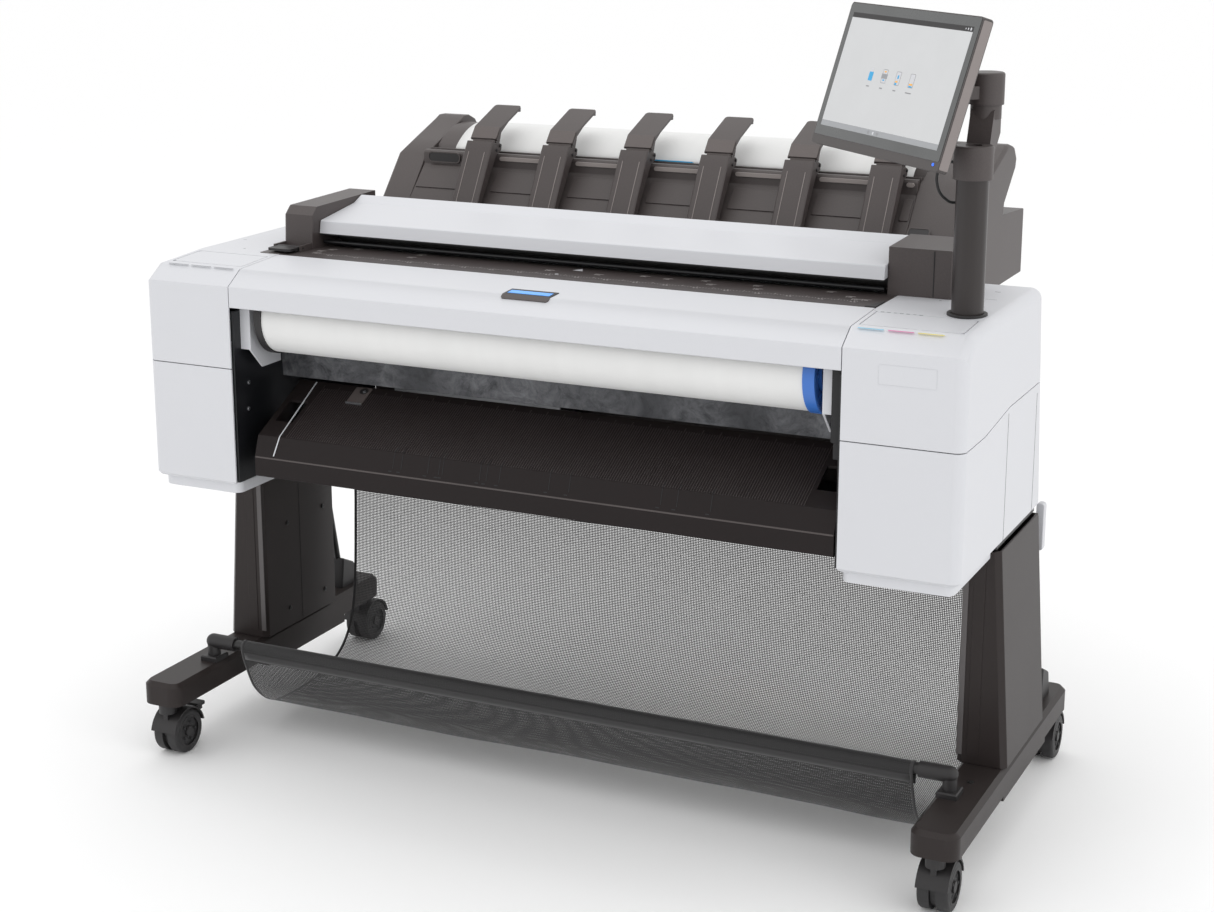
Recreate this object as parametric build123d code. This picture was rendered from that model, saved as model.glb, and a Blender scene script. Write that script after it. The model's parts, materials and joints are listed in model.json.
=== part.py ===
from build123d import *
import os
from math import cos, hypot, pi, radians, sin, tan

# A 36-inch plotter with a scanner, a rear stacker and a touch screen, on a wheeled stand.
# Millimetres. Origin at floor level in the middle of the footprint: X right, Y back, Z up.

# ---- overall sizes ----
body_half_width = 684.0     # outer face of a side cover from the middle
stand_height = 491.0        # floor to the underside of the body
body_height = 357.0         # underside of the body to the scan bed
front_y = -393.0            # front face of the covers
back_top_y = 0.0            # back of the body at deck height

# ---- body ----
left_bay_width = 162.0      # left side cover, outer face to roll bay
right_bay_width = 179.0     # right side cover, outer face to roll bay
bevel_depth = 35.0          # front bevel, front to back
bevel_height = 23.0         # front bevel, bottom to top
ridge_drop = 6.0            # ridge below the scan bed
cover_top_depth = 144.0     # front face to the front edge of the scan bed
back_lean = 50.0            # how much further back the body reaches at its base
seam_height = 193.0         # seam between upper and lower side covers, above the base
wall = 3.0                  # cover wall
corner_radius = 16.0        # outer corner of a side cover
panel_gap = 1.5             # gap round a cover that opens
steel = 4.0                 # side plate thickness
door_side_margin = 22.0     # ink door to the outer face of its cover
door_bay_margin = 8.0       # ink door to the roll bay
clear = 0.5                 # clearance between parts that pass each other
running = 0.05              # radial clearance of a running fit

# ---- stand ----
foot_width = 73.0
foot_overhang = 24.0        # a foot reaches this far out past the body
foot_front_y = front_y - 37.0
foot_back_y = back_top_y + 225.0
foot_depth = 40.0
heel_depth = 19.0           # extra depth of a foot under its leg
leg_front_y = back_top_y - 171.0
leg_back_y = back_top_y + 54.0
leg_width = 55.0            # at the top
leg_wall = 4.0
pan_thickness = 12.0
crossbar_height = 45.0
crossbar_depth = 40.0
crossbar_wall = 2.0
crossbar_gap = 6.0          # crossbar below the base pan

# ---- casters ----
caster_inset = 22.0         # front swivel axis behind a foot's front end
caster_back_inset = 23.0    # rear swivel axis ahead of a foot's back end
caster_trail = 25.0
wheel_radius = 37.5
wheel_width = 19.0
wheel_headroom = 21.0       # wheel top to the foot
caster_web = 9.0            # plate between the twin wheels
fender_gap = 2.0
fender_wall = 3.0
stem_radius = 6.0
stem_length = 24.0
collar_radius = 15.0
axle_radius = 4.0
brake_pin_radius = 2.0
brake_width = 31.0
brake_length = 22.0

# ---- roll and its bay ----
roll_depth = 78.0           # roll axis behind the front face
roll_drop = 78.0            # roll axis below the ridge
roll_radius = 60.0
roll_width = 914.4          # 36 inches
roll_shift = -7.5           # roll's middle beside the bay's middle
hub_rim = 2.5               # hub beyond the paper
hub_width = 18.0
spindle_radius = 12.0
journal_radius = 8.0
core_radius = 25.0
bracket_reach_left = 26.0   # bracket face to the paper's end
bracket_reach_right = 28.0
bracket_thickness = 4.0
bay_back_gap = 16.0         # curved plate to the hubs

# ---- loading platform, a drawer ----
drawer_lip_depth = 7.0      # lip behind the front face
drawer_kink_depth = 19.0
drawer_back_gap = 3.0       # back edge behind the scan bed's front edge
drawer_back_height = 149.0  # heights above the base
drawer_kink_height = 85.0
drawer_lip_height = 51.0
drawer_bottom_height = 19.0
drawer_left_gap = 30.0
drawer_right_gap = 3.5
grip_width = 34.0
grip_length = 48.0
grip_inset = 10.0           # grip to the drawer's end
grip_set_back = 34.0        # grip behind the kink

# ---- print engine ----
feed_set_back = 66.0        # feed roller behind the scan bed's front edge
feed_height = 161.0
feed_radius = 14.0
feed_journal_radius = 6.0
platen_step = 8.0           # platen above the feed roller's axis
platen_thickness = 6.0
rail_inset = 75.0           # rail ahead of the body's back
rail_depth = 30.0
rail_height = 40.0
rail_wall = 2.0
rail_step = 60.0            # rail above the platen
carriage_width = 100.0
carriage_reach = 85.0       # carriage ahead of the rail
carriage_park = 105.0       # parked carriage's middle from the right bay wall
belt_half_height = 6.0
belt_thickness = 1.2
belt_rise = 18.0            # belt's axis above the rail
motor_inset = 24.0
idler_inset = 34.0
cartridge_width = 42.0
cartridge_count = 3
electronics_left_inset = 102.0
electronics_width = 320.0
electronics_depth = 80.0
electronics_height = 130.0
electronics_wall = 2.0

# ---- scanner ----
bed_thickness = 4.0
lid_left_gap = 25.5         # lid's end to the bay wall
lid_right_gap = 17.5
lid_front_reach = 161.0     # lid's front edge ahead of the body's back
lid_back_reach = 22.0
lid_lift = 24.0             # lid's underside above the bed
lid_pivot_reach = 37.0      # lid's pivot ahead of its back edge
lid_pivot_height = 20.0
glass_front_reach = 138.0   # glass ahead of the body's back
glass_depth = 60.0
glass_thickness = 1.5
glass_lap = 6.0             # glass resting on the bed
cap_height = 72.0
cap_left_width = 56.0
cap_right_width = 100.0
cap_gap = 1.0
scan_roller_reach = 41.0    # roller ahead of the lid's pivot
scan_roller_radius = 10.0
scan_roller_lift = 0.6
roller_pin_radius = 4.0
lever_pin_radius = 2.0
lever_y = back_top_y - 208.0

# ---- stacker ----
stacker_left_reach = 15.0   # stacker's ends outside the bay walls
stacker_right_reach = 37.0
ear_left_width = 58.0
ear_right_width = 106.0
stacker_height = 128.0      # rail top above the scan bed
stacker_neck = 58.0         # stacker's foot below the scan bed
stacker_reach = 430.0       # stacker's back behind the body
arm_count = 6
arm_start = 184.0           # first arm from the stacker's left end
arm_pitch = 148.5
arm_width = 52.0
arm_wall = 4.0
flap_pin_reach = 163.0
flap_pin_rise = 14.0        # pin above the rail
flap_gap = 0.5
pin_radius = 3.0
sheet_thickness = 1.2
sheet_lift = 1.6

# ---- screen ----
pole_inset = 47.0           # pole from the right outer face
pole_set_back = 10.0        # pole behind the scan bed's front edge
pole_radius = 23.0
pole_wall = 3.0
pole_height = 236.0         # above the scan bed
sleeve_wall = 5.0
sleeve_height = 47.0
sleeve_rise = 5.0           # sleeve above the pole's end
head_reach = 53.0           # from the pole back to the second pivot
head_rise = 57.0            # head above the pole's end
head_height = 45.0
head_radius = 25.0
head_post_radius = 9.0
arm_half_width = 17.0
screen_width = 360.0
screen_height = 214.0
screen_depth = 18.0
screen_back_width = 220.0
screen_back_height = 130.0
screen_back_depth = 12.0
screen_back_shift = 20.0
screen_turn = 42.2          # degrees, screen faces front left
screen_tilt = 17.4          # degrees, leans back
screen_reach = 70.0         # second pivot to the tilt hinge
screen_offset = 59.6        # tilt hinge right of the screen's middle
screen_rise = 3.7           # tilt hinge above the screen's middle
hinge_standoff = 48.5       # tilt hinge behind the glass
hinge_pin_radius = 4.0
knuckle_radius = 9.0
knuckle_width = 28.0
lug_width = 8.0
mount_plate = 4.0

# ---- basket ----
basket_left_gap = 43.0      # cloth's edge to the foot
basket_right_gap = 34.0
basket_rod_set_back = 138.0 # front rod behind the feet's front ends
basket_rod_rise = 33.0      # front rod above the feet
basket_rod_radius = 9.0
basket_cloth = 4.0
sleeve_slack = 0.4          # cloth sleeve round a bar
basket_bar_drop = 66.0      # rear bar below the body
basket_bar_y = back_top_y + 81.0
basket_bar_radius = 6.0
basket_foot_y = back_top_y + 140.0
socket_depth = 12.0
cable_radius = 2.2

# ---- places worked out from them ----
body_bottom_z = stand_height
deck_z = body_bottom_z + body_height
ridge_z = deck_z - ridge_drop
bevel_z = ridge_z - bevel_height
ridge_y = front_y + bevel_depth
deck_front_y = front_y + cover_top_depth
seam_z = body_bottom_z + seam_height
left_x = -body_half_width + left_bay_width
right_x = body_half_width - right_bay_width
plate_left_x = left_x + steel
plate_right_x = right_x - steel
pan_bottom_z = body_bottom_z - pan_thickness
foot_x = body_half_width + foot_overhang - foot_width / 2
foot_outer_x = foot_x + foot_width / 2
foot_inner_x = foot_x - foot_width / 2
foot_bottom_z = 2 * wheel_radius + wheel_headroom
foot_top_z = foot_bottom_z + foot_depth
leg_top_x = body_half_width
leg_inner_x = body_half_width - leg_width
caster_front_y = foot_front_y + caster_inset
caster_back_y = foot_back_y - caster_back_inset
roll_y = front_y + roll_depth
roll_z = ridge_z - roll_drop
hub_radius = roll_radius + hub_rim
roll_middle_x = (left_x + right_x) / 2 + roll_shift
roll_left_x = roll_middle_x - roll_width / 2
roll_right_x = roll_middle_x + roll_width / 2
drawer_back_y = deck_front_y + drawer_back_gap
drawer_kink_y = front_y + drawer_kink_depth
drawer_lip_y = front_y + drawer_lip_depth
drawer_back_z = body_bottom_z + drawer_back_height
drawer_kink_z = body_bottom_z + drawer_kink_height
drawer_lip_z = body_bottom_z + drawer_lip_height
drawer_bottom_z = body_bottom_z + drawer_bottom_height
feed_y = deck_front_y + feed_set_back
feed_z = body_bottom_z + feed_height
platen_z = feed_z + platen_step
rail_y = back_top_y - rail_inset
rail_bottom_z = platen_z + rail_step
rail_top = rail_bottom_z + rail_height
belt_z = rail_top + belt_rise
carriage_home_x = right_x - carriage_park
bed_bottom_z = deck_z - bed_thickness
lid_left_x = left_x + lid_left_gap
lid_right_x = right_x - lid_right_gap
lid_front_y = back_top_y - lid_front_reach
lid_back_y = back_top_y - lid_back_reach
lid_pivot_y = lid_back_y - lid_pivot_reach
lid_pivot_z = deck_z + lid_pivot_height
glass_front_y = back_top_y - glass_front_reach
glass_back_y = glass_front_y + glass_depth
scan_roller_y = lid_pivot_y - scan_roller_reach
scan_roller_z = deck_z + scan_roller_lift + scan_roller_radius
lever_z = deck_z + 5.0
stacker_left_x = left_x - stacker_left_reach
stacker_right_x = right_x + stacker_right_reach
stacker_back_y = back_top_y + stacker_reach
rail_top_z = deck_z + stacker_height
neck_z = deck_z - stacker_neck
arm_first_x = stacker_left_x + arm_start
flap_pin_y = back_top_y + flap_pin_reach
flap_pin_z = rail_top_z + flap_pin_rise
pole_x = body_half_width - pole_inset
pole_y = deck_front_y + pole_set_back
pole_top_z = deck_z + pole_height
pole_foot_z = body_bottom_z + wall
sleeve_radius = pole_radius + sleeve_wall
sleeve_top = pole_top_z + sleeve_rise
head_y = pole_y + head_reach
head_bottom_z = pole_top_z + head_rise
basket_left_x = -foot_inner_x + basket_left_gap
basket_right_x = foot_inner_x - basket_right_gap
basket_rod_y = foot_front_y + basket_rod_set_back
basket_rod_z = foot_top_z + basket_rod_rise
basket_bar_z = body_bottom_z - basket_bar_drop


def back_y(z):
    """The body's leaning back."""
    return back_top_y + back_lean * (deck_z - z) / (deck_z - body_bottom_z)


def top_z(y):
    """Height of the body's top at depth y."""
    if y < deck_front_y:
        return ridge_z + (deck_z - ridge_z) * (y - ridge_y) / (deck_front_y - ridge_y)
    return deck_z


def box(x0, x1, y0, y1, z0, z1):
    """Block between two corners."""
    block = Box(x1 - x0, y1 - y0, z1 - z0, align=(Align.MIN, Align.MIN, Align.MIN))
    return Pos(x0, y0, z0) * block


def prism_x(points, x0, x1):
    """Extrude a (y, z) outline from x0 to x1."""
    outline = Wire.make_polygon([(x0, y, z) for y, z in points])
    return extrude(Face(outline), amount=x1 - x0, dir=(1, 0, 0))


def prism_y(points, y0, y1):
    """Extrude an (x, z) outline from y0 to y1."""
    outline = Wire.make_polygon([(x, y0, z) for x, z in points])
    return extrude(Face(outline), amount=y1 - y0, dir=(0, 1, 0))


def rod_x(x0, x1, y, z, radius):
    return Pos((x0 + x1) / 2, y, z) * Rot(0, 90, 0) * Cylinder(radius, x1 - x0)


def rod_y(x, y0, y1, z, radius):
    return Pos(x, (y0 + y1) / 2, z) * Rot(90, 0, 0) * Cylinder(radius, y1 - y0)


def rod_z(x, y, z0, z1, radius):
    return Pos(x, y, (z0 + z1) / 2) * Cylinder(radius, z1 - z0)


def edges_near(shape, test):
    """Edges whose middle passes the test."""
    return [edge for edge in shape.edges() if test(edge @ 0.5, edge)]


def save(name, *solids):
    shape = solids[0] if len(solids) == 1 else Compound(children=list(solids))
    if len(solids) == 1 and len(shape.solids()) == 1:
        shape = shape.solids()[0]
    export_step(shape, f"parts/{name}.step")


def strip(path, thickness):
    """A (y, z) outline of constant thickness on the left of an open path."""
    left = []
    for i, (y, z) in enumerate(path):
        normals = []
        for a, b in ((i - 1, i), (i, i + 1)):
            if a < 0 or b >= len(path):
                continue
            dy = path[b][0] - path[a][0]
            dz = path[b][1] - path[a][1]
            length = hypot(dy, dz)
            normals.append((-dz / length, dy / length))
        ny = sum(n[0] for n in normals) / len(normals)
        nz = sum(n[1] for n in normals) / len(normals)
        scale = thickness / (ny * ny + nz * nz)
        left.append((y + ny * scale, z + nz * scale))
    return list(path) + left[::-1]


# ---------------------------------------------------------------- stand
def foot(side):
    """Foot beam with rounded ends, a deeper heel under the leg and two caster bores."""
    half = foot_width / 2
    length = foot_back_y - foot_front_y
    middle_y = (foot_back_y + foot_front_y) / 2
    beam = Pos(side * foot_x, middle_y, foot_top_z - foot_depth / 2) * Box(foot_width, length, foot_depth)
    upright = edges_near(beam, lambda m, e: abs(m.Z - foot_top_z + foot_depth / 2) < 0.1)
    beam = fillet(upright, half * 0.55)
    rim = edges_near(beam, lambda m, e: m.Z > foot_top_z - 0.1)
    beam = chamfer(rim, 7.0)
    heel = box(
        side * foot_x - half + 6.0,
        side * foot_x + half - 6.0,
        leg_front_y + 18.0,
        leg_back_y + 48.0,
        foot_bottom_z - heel_depth,
        foot_bottom_z,
    )
    beam = beam + heel
    for y in (caster_front_y, caster_back_y):
        bore_top = foot_bottom_z + stem_length + 1
        beam = beam - rod_z(side * foot_x, y, foot_bottom_z - 1, bore_top, stem_radius + running)
    return beam


def leg(side):
    """Hollow tapered column between foot and base pan, chamfered at its front corners."""
    outer = [
        (side * leg_inner_x, foot_top_z),
        (side * foot_outer_x, foot_top_z),
        (side * leg_top_x, pan_bottom_z),
        (side * leg_inner_x, pan_bottom_z),
    ]
    column = prism_y(outer, leg_front_y, leg_back_y)
    corners = edges_near(column, lambda m, e: m.Y < leg_front_y + 0.1 and e.length > 100)
    column = chamfer(corners, 9.0)
    inner = [
        (side * (leg_inner_x + leg_wall), foot_top_z - 1),
        (side * (foot_outer_x - leg_wall), foot_top_z - 1),
        (side * (leg_top_x - leg_wall), pan_bottom_z + 1),
        (side * (leg_inner_x + leg_wall), pan_bottom_z + 1),
    ]
    return column - prism_y(inner, leg_front_y + 12.0, leg_back_y - leg_wall)


def crossbar():
    """Square tube between the legs."""
    middle = Pos(0, (leg_front_y + leg_back_y) / 2, pan_bottom_z - crossbar_gap - crossbar_height / 2)
    outer = middle * Box(2 * leg_inner_x, crossbar_depth, crossbar_height)
    inner_depth = crossbar_depth - 2 * crossbar_wall
    inner_height = crossbar_height - 2 * crossbar_wall
    return outer - middle * Box(2 * leg_inner_x + 2, inner_depth, inner_height)


def base_pan():
    """Steel tray that the body stands on."""
    half = body_half_width - 6.0
    pan = box(-half, half, leg_front_y, back_y(body_bottom_z) - 2.0, pan_bottom_z, body_bottom_z)
    return chamfer(edges_near(pan, lambda m, e: m.Z < pan_bottom_z + 0.1), 4.0)


# ---------------------------------------------------------------- casters
def caster_housing(x, y, braked):
    """Swivel housing: stem, thrust collar, centre web and fender over the twin wheels."""
    wheel_y = y + caster_trail
    fender_inner = wheel_radius + fender_gap
    fender_outer = fender_inner + fender_wall
    half = caster_web / 2 + wheel_width + 1.0
    web = rod_x(x - caster_web / 2, x + caster_web / 2, wheel_y, wheel_radius, wheel_radius - 6.0)
    fender = rod_x(x - half, x + half, wheel_y, wheel_radius, fender_outer)
    fender = fender - rod_x(x - half - 1, x + half + 1, wheel_y, wheel_radius, fender_inner)
    fender = fender & box(x - half, x + half, y - 60, wheel_y + 60, wheel_radius + 8.0, 200)
    web_left, web_right = x - caster_web / 2, x + caster_web / 2
    wheel_top = 2 * wheel_radius
    rib = box(web_left, web_right, wheel_y - 24, wheel_y + 22, wheel_radius, wheel_top - fender_wall)
    rib = rib + box(web_left, web_right, y - 8, wheel_y + 5, wheel_radius, foot_bottom_z - 4.0)
    neck_start = wheel_top + fender_gap
    collar = rod_z(x, y, neck_start, foot_bottom_z - clear, collar_radius)
    neck = box(x - 12, x + 12, y - 4, wheel_y, neck_start, foot_bottom_z - 6.0)
    stem = rod_z(x, y, foot_bottom_z - 2, foot_bottom_z + stem_length, stem_radius)
    housing = web + fender + rib + neck + collar + stem
    housing = housing - rod_x(x - 2 * half, x + 2 * half, wheel_y, wheel_radius, axle_radius + running)
    if braked:
        for side in (-1, 1):
            lug_x = x + side * (brake_width / 2 + clear + 2)
            lug = box(lug_x - 2, lug_x + 2, *brake_lug_box(wheel_y))
            housing = housing + lug
        pin_half = brake_width / 2 + 10
        pin_bore = brake_pin_radius + running
        housing = housing - rod_x(x - pin_half, x + pin_half, *brake_pin(wheel_y), pin_bore)
    return housing


def brake_pin(wheel_y):
    """Axis of a brake pedal's pin, behind the fender."""
    return (wheel_y + wheel_radius + fender_gap, wheel_radius + 29.0)


def brake_lug_box(wheel_y):
    pin_y, pin_z = brake_pin(wheel_y)
    lug = 2 * brake_pin_radius
    return (pin_y - 8.5, pin_y + lug, pin_z - lug, pin_z + lug)


def caster_wheels(x, y):
    """Twin wheels on their common axle."""
    wheel_y = y + caster_trail
    gap = caster_web / 2 + 0.5
    axle = rod_x(x - gap - 2, x + gap + 2, wheel_y, wheel_radius, axle_radius)
    pair = axle
    for side in (-1, 1):
        inner = x + side * gap
        outer = x + side * (gap + wheel_width)
        wheel = rod_x(min(inner, outer), max(inner, outer), wheel_y, wheel_radius, wheel_radius)
        wheel = fillet(edges_near(wheel, lambda m, e: e.length > 200 and abs(m.X - outer) < 0.1), 5.0)
        face = min(outer, outer - side * 3.0)
        wheel = wheel - rod_x(face - 0.01, face + 3.01, wheel_y, wheel_radius, wheel_radius - 12)
        wheel = wheel + rod_x(face, face + 3.0, wheel_y, wheel_radius, 9.0)
        pair = pair + wheel
    return pair


def brake_pedal(x, y):
    """Brake pedal of a front caster, with its pin."""
    pin_y, pin_z = brake_pin(y + caster_trail)
    half = brake_width / 2
    knuckle = rod_x(x - half, x + half, pin_y, pin_z, 2 * brake_pin_radius)
    pin = rod_x(x - half - 4, x + half + 4, pin_y, pin_z, brake_pin_radius)
    plate = box(x - half, x + half, pin_y, pin_y + brake_length, pin_z - 1.5, pin_z + 2.5)
    tip = edges_near(plate, lambda m, e: m.Y > pin_y + brake_length - 0.1 and abs(m.Z - pin_z - 0.5) < 0.1)
    return knuckle + pin + fillet(tip, 6.0)


# ---------------------------------------------------------------- basket
def basket_path():
    """The hammock's line from the front rod, under, and up behind to the rear bar."""
    sleeve = basket_rod_radius + sleeve_slack
    return [
        (basket_rod_y - 2, basket_rod_z - sleeve),
        (basket_rod_y + 26, basket_rod_z - 88),
        (basket_rod_y + 74, basket_rod_z - 126),
        (basket_rod_y + 142, basket_rod_z - 135),
        (basket_rod_y + 240, basket_rod_z - 130),
        (basket_rod_y + 312, basket_rod_z - 98),
        (basket_rod_y + 350, basket_rod_z - 20),
        (basket_bar_y - 9, basket_bar_z - 110),
        (basket_bar_y, basket_bar_z - basket_bar_radius - sleeve_slack),
    ]


def basket_fabric():
    """Mesh hammock with a sleeve on each bar."""
    sheet = prism_x(strip(basket_path(), basket_cloth), basket_left_x, basket_right_x)
    bars = (
        (basket_rod_y, basket_rod_z, basket_rod_radius + sleeve_slack),
        (basket_bar_y, basket_bar_z, basket_bar_radius + sleeve_slack),
    )
    for y, z, bore in bars:
        sheet = sheet + rod_x(basket_left_x, basket_right_x, y, z, bore + basket_cloth * 0.6)
    for y, z, bore in bars:
        sheet = sheet - rod_x(basket_left_x - 1, basket_right_x + 1, y, z, bore)
    return sheet


def basket_rod():
    end = foot_inner_x - basket_rod_radius
    return rod_x(-end, end, basket_rod_y, basket_rod_z, basket_rod_radius)


def basket_elbow(side):
    """Front fitting: a socket on the foot, an upright and a cup that takes the rod's end."""
    x = side * (foot_x - 16)
    base_top = foot_top_z + 9
    base = box(x - 16, x + 16, basket_rod_y - 18, basket_rod_y + 18, foot_top_z, base_top)
    base = chamfer(edges_near(base, lambda m, e: m.Z > base_top - 0.1), 2.0)
    post = rod_z(x, basket_rod_y, base_top, basket_rod_z, basket_rod_radius + 2)
    cup_radius = basket_rod_radius + 3.5
    cup_inner = side * (foot_inner_x - 26)
    cup = rod_x(min(cup_inner, x), max(cup_inner, x), basket_rod_y, basket_rod_z, cup_radius)
    knee = Pos(x, basket_rod_y, basket_rod_z) * Sphere(cup_radius)
    end = side * (foot_inner_x - basket_rod_radius)
    bore = rod_x(min(cup_inner - side, end), max(cup_inner - side, end), basket_rod_y, basket_rod_z,
                 basket_rod_radius)
    return base + post + cup + knee - bore


def basket_socket(side):
    """Rear fitting: a tapered block on the foot that holds an upright."""
    x = side * foot_x
    outline = [
        (basket_foot_y - 22, foot_top_z),
        (basket_foot_y + 34, foot_top_z),
        (basket_foot_y + 24, foot_top_z + 40),
        (basket_foot_y - 14, foot_top_z + 58),
    ]
    block = prism_x(outline, x - 17, x + 17)
    block = chamfer(edges_near(block, lambda m, e: e.length > 30 and m.Z > foot_top_z + 1), 2.0)
    return block - basket_upright(side)


def basket_upright(side):
    """Leaning rear upright."""
    x = side * foot_x
    low = Vector(x, basket_foot_y, foot_top_z + socket_depth)
    high = Vector(x, basket_bar_y, basket_bar_z)
    length = (high - low).length + basket_bar_radius
    return Solid.make_cylinder(basket_bar_radius, length, Plane(low, z_dir=high - low))


def basket_bar():
    """Rear bar between the uprights, thinner than them by 0.3 mm so that it ends inside their sides."""
    end = foot_x - basket_bar_radius / 2
    bar = rod_x(-end, end, basket_bar_y, basket_bar_z, basket_bar_radius - 0.3)
    return bar - basket_upright(-1) - basket_upright(1)


# ---------------------------------------------------------------- body
def cover_outline(inset, bottom):
    """Side view of the body, moved inwards by inset."""
    base = bottom + inset
    return [
        (front_y + inset, base),
        (front_y + inset, bevel_z - inset * 0.55),
        (ridge_y + inset * 0.3, ridge_z - inset),
        (deck_front_y, deck_z - inset),
        (back_top_y - inset, deck_z - inset),
        (back_y(bottom) - inset, base),
    ]


def side_cover(side, inner_x):
    """One side cover as a hollow shell open towards the roll bay."""
    outer_x = side * body_half_width
    low, high = min(outer_x, inner_x), max(outer_x, inner_x)
    shell = prism_x(cover_outline(0, body_bottom_z), low, high)
    skin = outer_x
    rim = edges_near(
        shell,
        lambda m, e: abs(m.X - skin) < 0.1 and m.Z > body_bottom_z + 1 and m.Y < back_top_y + 0.1
    )
    shell = fillet(rim, corner_radius)
    base = edges_near(shell, lambda m, e: m.Z < body_bottom_z + 0.1)
    shell = chamfer(base, 5.0)
    skin = outer_x - side * wall
    low, high = min(skin, inner_x), max(skin, inner_x)
    cavity = prism_x(cover_outline(wall, body_bottom_z), low, high)
    rim = edges_near(
        cavity,
        lambda m, e: abs(m.X - skin) < 0.1 and m.Z > body_bottom_z + wall + 1 and m.Y < back_top_y - wall
    )
    cavity = fillet(rim, corner_radius - wall)
    return shell - cavity


def seam(x0, x1):
    """Thin gap between upper and lower cover; it steps up towards the back."""
    line = [
        (front_y - 1, seam_z),
        (front_y + 105, seam_z),
        (front_y + 238, seam_z + 14),
        (back_y(seam_z) + 20, seam_z + 14),
    ]
    return prism_x(strip(line, panel_gap), x0, x1)


def door_outline(grow):
    """Side view of an ink door plate."""
    y0 = ridge_y + 15 - grow
    y1 = deck_front_y - 20 + grow
    return [(y0, top_z(y0)), (y1, top_z(y1)), (y1, top_z(y1) - wall), (y0, top_z(y0) - wall)]


def door_span(side):
    """Left and right end of an ink door."""
    if side < 0:
        return (-body_half_width + door_side_margin, left_x - door_bay_margin)
    return (right_x + door_bay_margin, body_half_width - door_side_margin)


def side_covers(side):
    """Upper and lower shell of one side, with the ink door's opening."""
    inner_x = left_x if side < 0 else right_x
    shell = side_cover(side, inner_x)
    x0, x1 = door_span(side)
    hole = door_outline(panel_gap)
    hole = [(y, z + (2 if i < 2 else -2)) for i, (y, z) in enumerate(hole)]
    shell = shell - prism_x(hole, x0 - panel_gap, x1 + panel_gap)
    if side > 0:
        shell = shell - rod_z(pole_x, pole_y, deck_z - 30, deck_z + 5, pole_radius)
    pieces = shell - seam(-body_half_width - 1, body_half_width + 1)
    return pieces.solids()


def ink_door(side):
    x0, x1 = door_span(side)
    door = prism_x(door_outline(0), x0, x1)
    middle = (x0 + x1) / 2
    corners = edges_near(door, lambda m, e: e.length < wall + 1 and (m.X - middle) * side > 0)
    return fillet(corners, 8.0)


def side_plate(side):
    """Steel side of the roll bay."""
    front = front_y + 5
    step_y = deck_front_y + 3
    step_z = bevel_z - 41
    base = body_bottom_z + 4
    inside = wall + 1
    outline = [
        (front, base),
        (front, step_z),
        (step_y, step_z),
        (step_y, bed_bottom_z),
        (back_top_y - inside, bed_bottom_z),
        (back_y(body_bottom_z) - inside, base),
        (back_y(body_bottom_z) - inside, body_bottom_z),
        (leg_front_y, body_bottom_z),
        (leg_front_y, base),
    ]
    x0, x1 = (left_x, plate_left_x) if side < 0 else (plate_right_x, right_x)
    plate = prism_x(outline, x0, x1)
    return plate - rod_x(x0 - 1, x1 + 1, feed_y, feed_z, feed_journal_radius + running)


def rear_cover():
    """Leaning steel cover across the back."""
    z0, z1 = body_bottom_z, bed_bottom_z
    outline = [
        (back_y(z0) - wall, z0),
        (back_y(z0), z0),
        (back_y(z1), z1),
        (back_y(z1) - wall, z1),
    ]
    return prism_x(outline, plate_left_x, plate_right_x)


def roll_cover():
    """Front cover over the roll, a shell open below, hinged at the scan bed."""
    x0, x1 = left_x + panel_gap, right_x - panel_gap
    rear_y = deck_front_y - 0.5
    lip_z = bevel_z - 34
    outer = [
        (front_y, lip_z),
        (front_y, bevel_z),
        (ridge_y, ridge_z),
        (rear_y, top_z(rear_y)),
        (rear_y, top_z(rear_y) - wall),
        (front_y + 20, lip_z),
    ]
    inner = [
        (front_y + wall, lip_z - 1),
        (front_y + wall, bevel_z - wall * 0.55),
        (ridge_y + 1, ridge_z - wall),
        (rear_y + 1, top_z(rear_y) - wall),
        (rear_y + 1, lip_z - 1),
    ]
    shell = prism_x(outer, x0, x1)
    rim = edges_near(shell, lambda m, e: e.length > 500 and m.Z > lip_z - 1 and m.Y < ridge_y + 1)
    shell = fillet([e for e in rim if (e @ 0.5).Y < front_y + 1], 2.0)
    return shell - prism_x(inner, x0 + wall, x1 - wall)


def bay_back():
    """Curved plate behind and under the roll."""
    reach = hub_radius + bay_back_gap
    path = [(deck_front_y - 3, drawer_skin_z(deck_front_y - 3) + 9)]
    for angle in (-42, -25, -8, 10, 28):
        path.append((roll_y + reach * cos(radians(angle)), roll_z + reach * sin(radians(angle))))
    return prism_x(strip(path[::-1], 2.0), plate_left_x, plate_right_x)


def roll_bracket(side):
    """Bent plate that carries one end of the spindle."""
    if side > 0:
        inner = roll_right_x + bracket_reach_right
        outer = inner + bracket_thickness
        flange = (outer, plate_right_x)
    else:
        outer = roll_left_x - bracket_reach_left
        inner = outer - bracket_thickness
        flange = (plate_left_x, inner)
    front, back = roll_y - 54, roll_y + 30
    low, shelf, high = roll_z - 84, roll_z - 50, roll_z + 18
    outline = [(front, shelf), (front, high), (back, high), (back, low), (roll_y - 22, low)]
    plate = prism_x(outline, inner, outer)
    plate = plate + box(*flange, back - bracket_thickness, back, low, high)
    plate = plate + box(*flange, front, front + 3, shelf, high)
    return plate - rod_x(inner - 1, outer + 1, roll_y, roll_z, journal_radius + running)


def roll_paper():
    """Paper wound on its core."""
    paper = rod_x(roll_left_x, roll_right_x, roll_y, roll_z, roll_radius)
    return paper - rod_x(roll_left_x - 1, roll_right_x + 1, roll_y, roll_z, core_radius)


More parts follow.
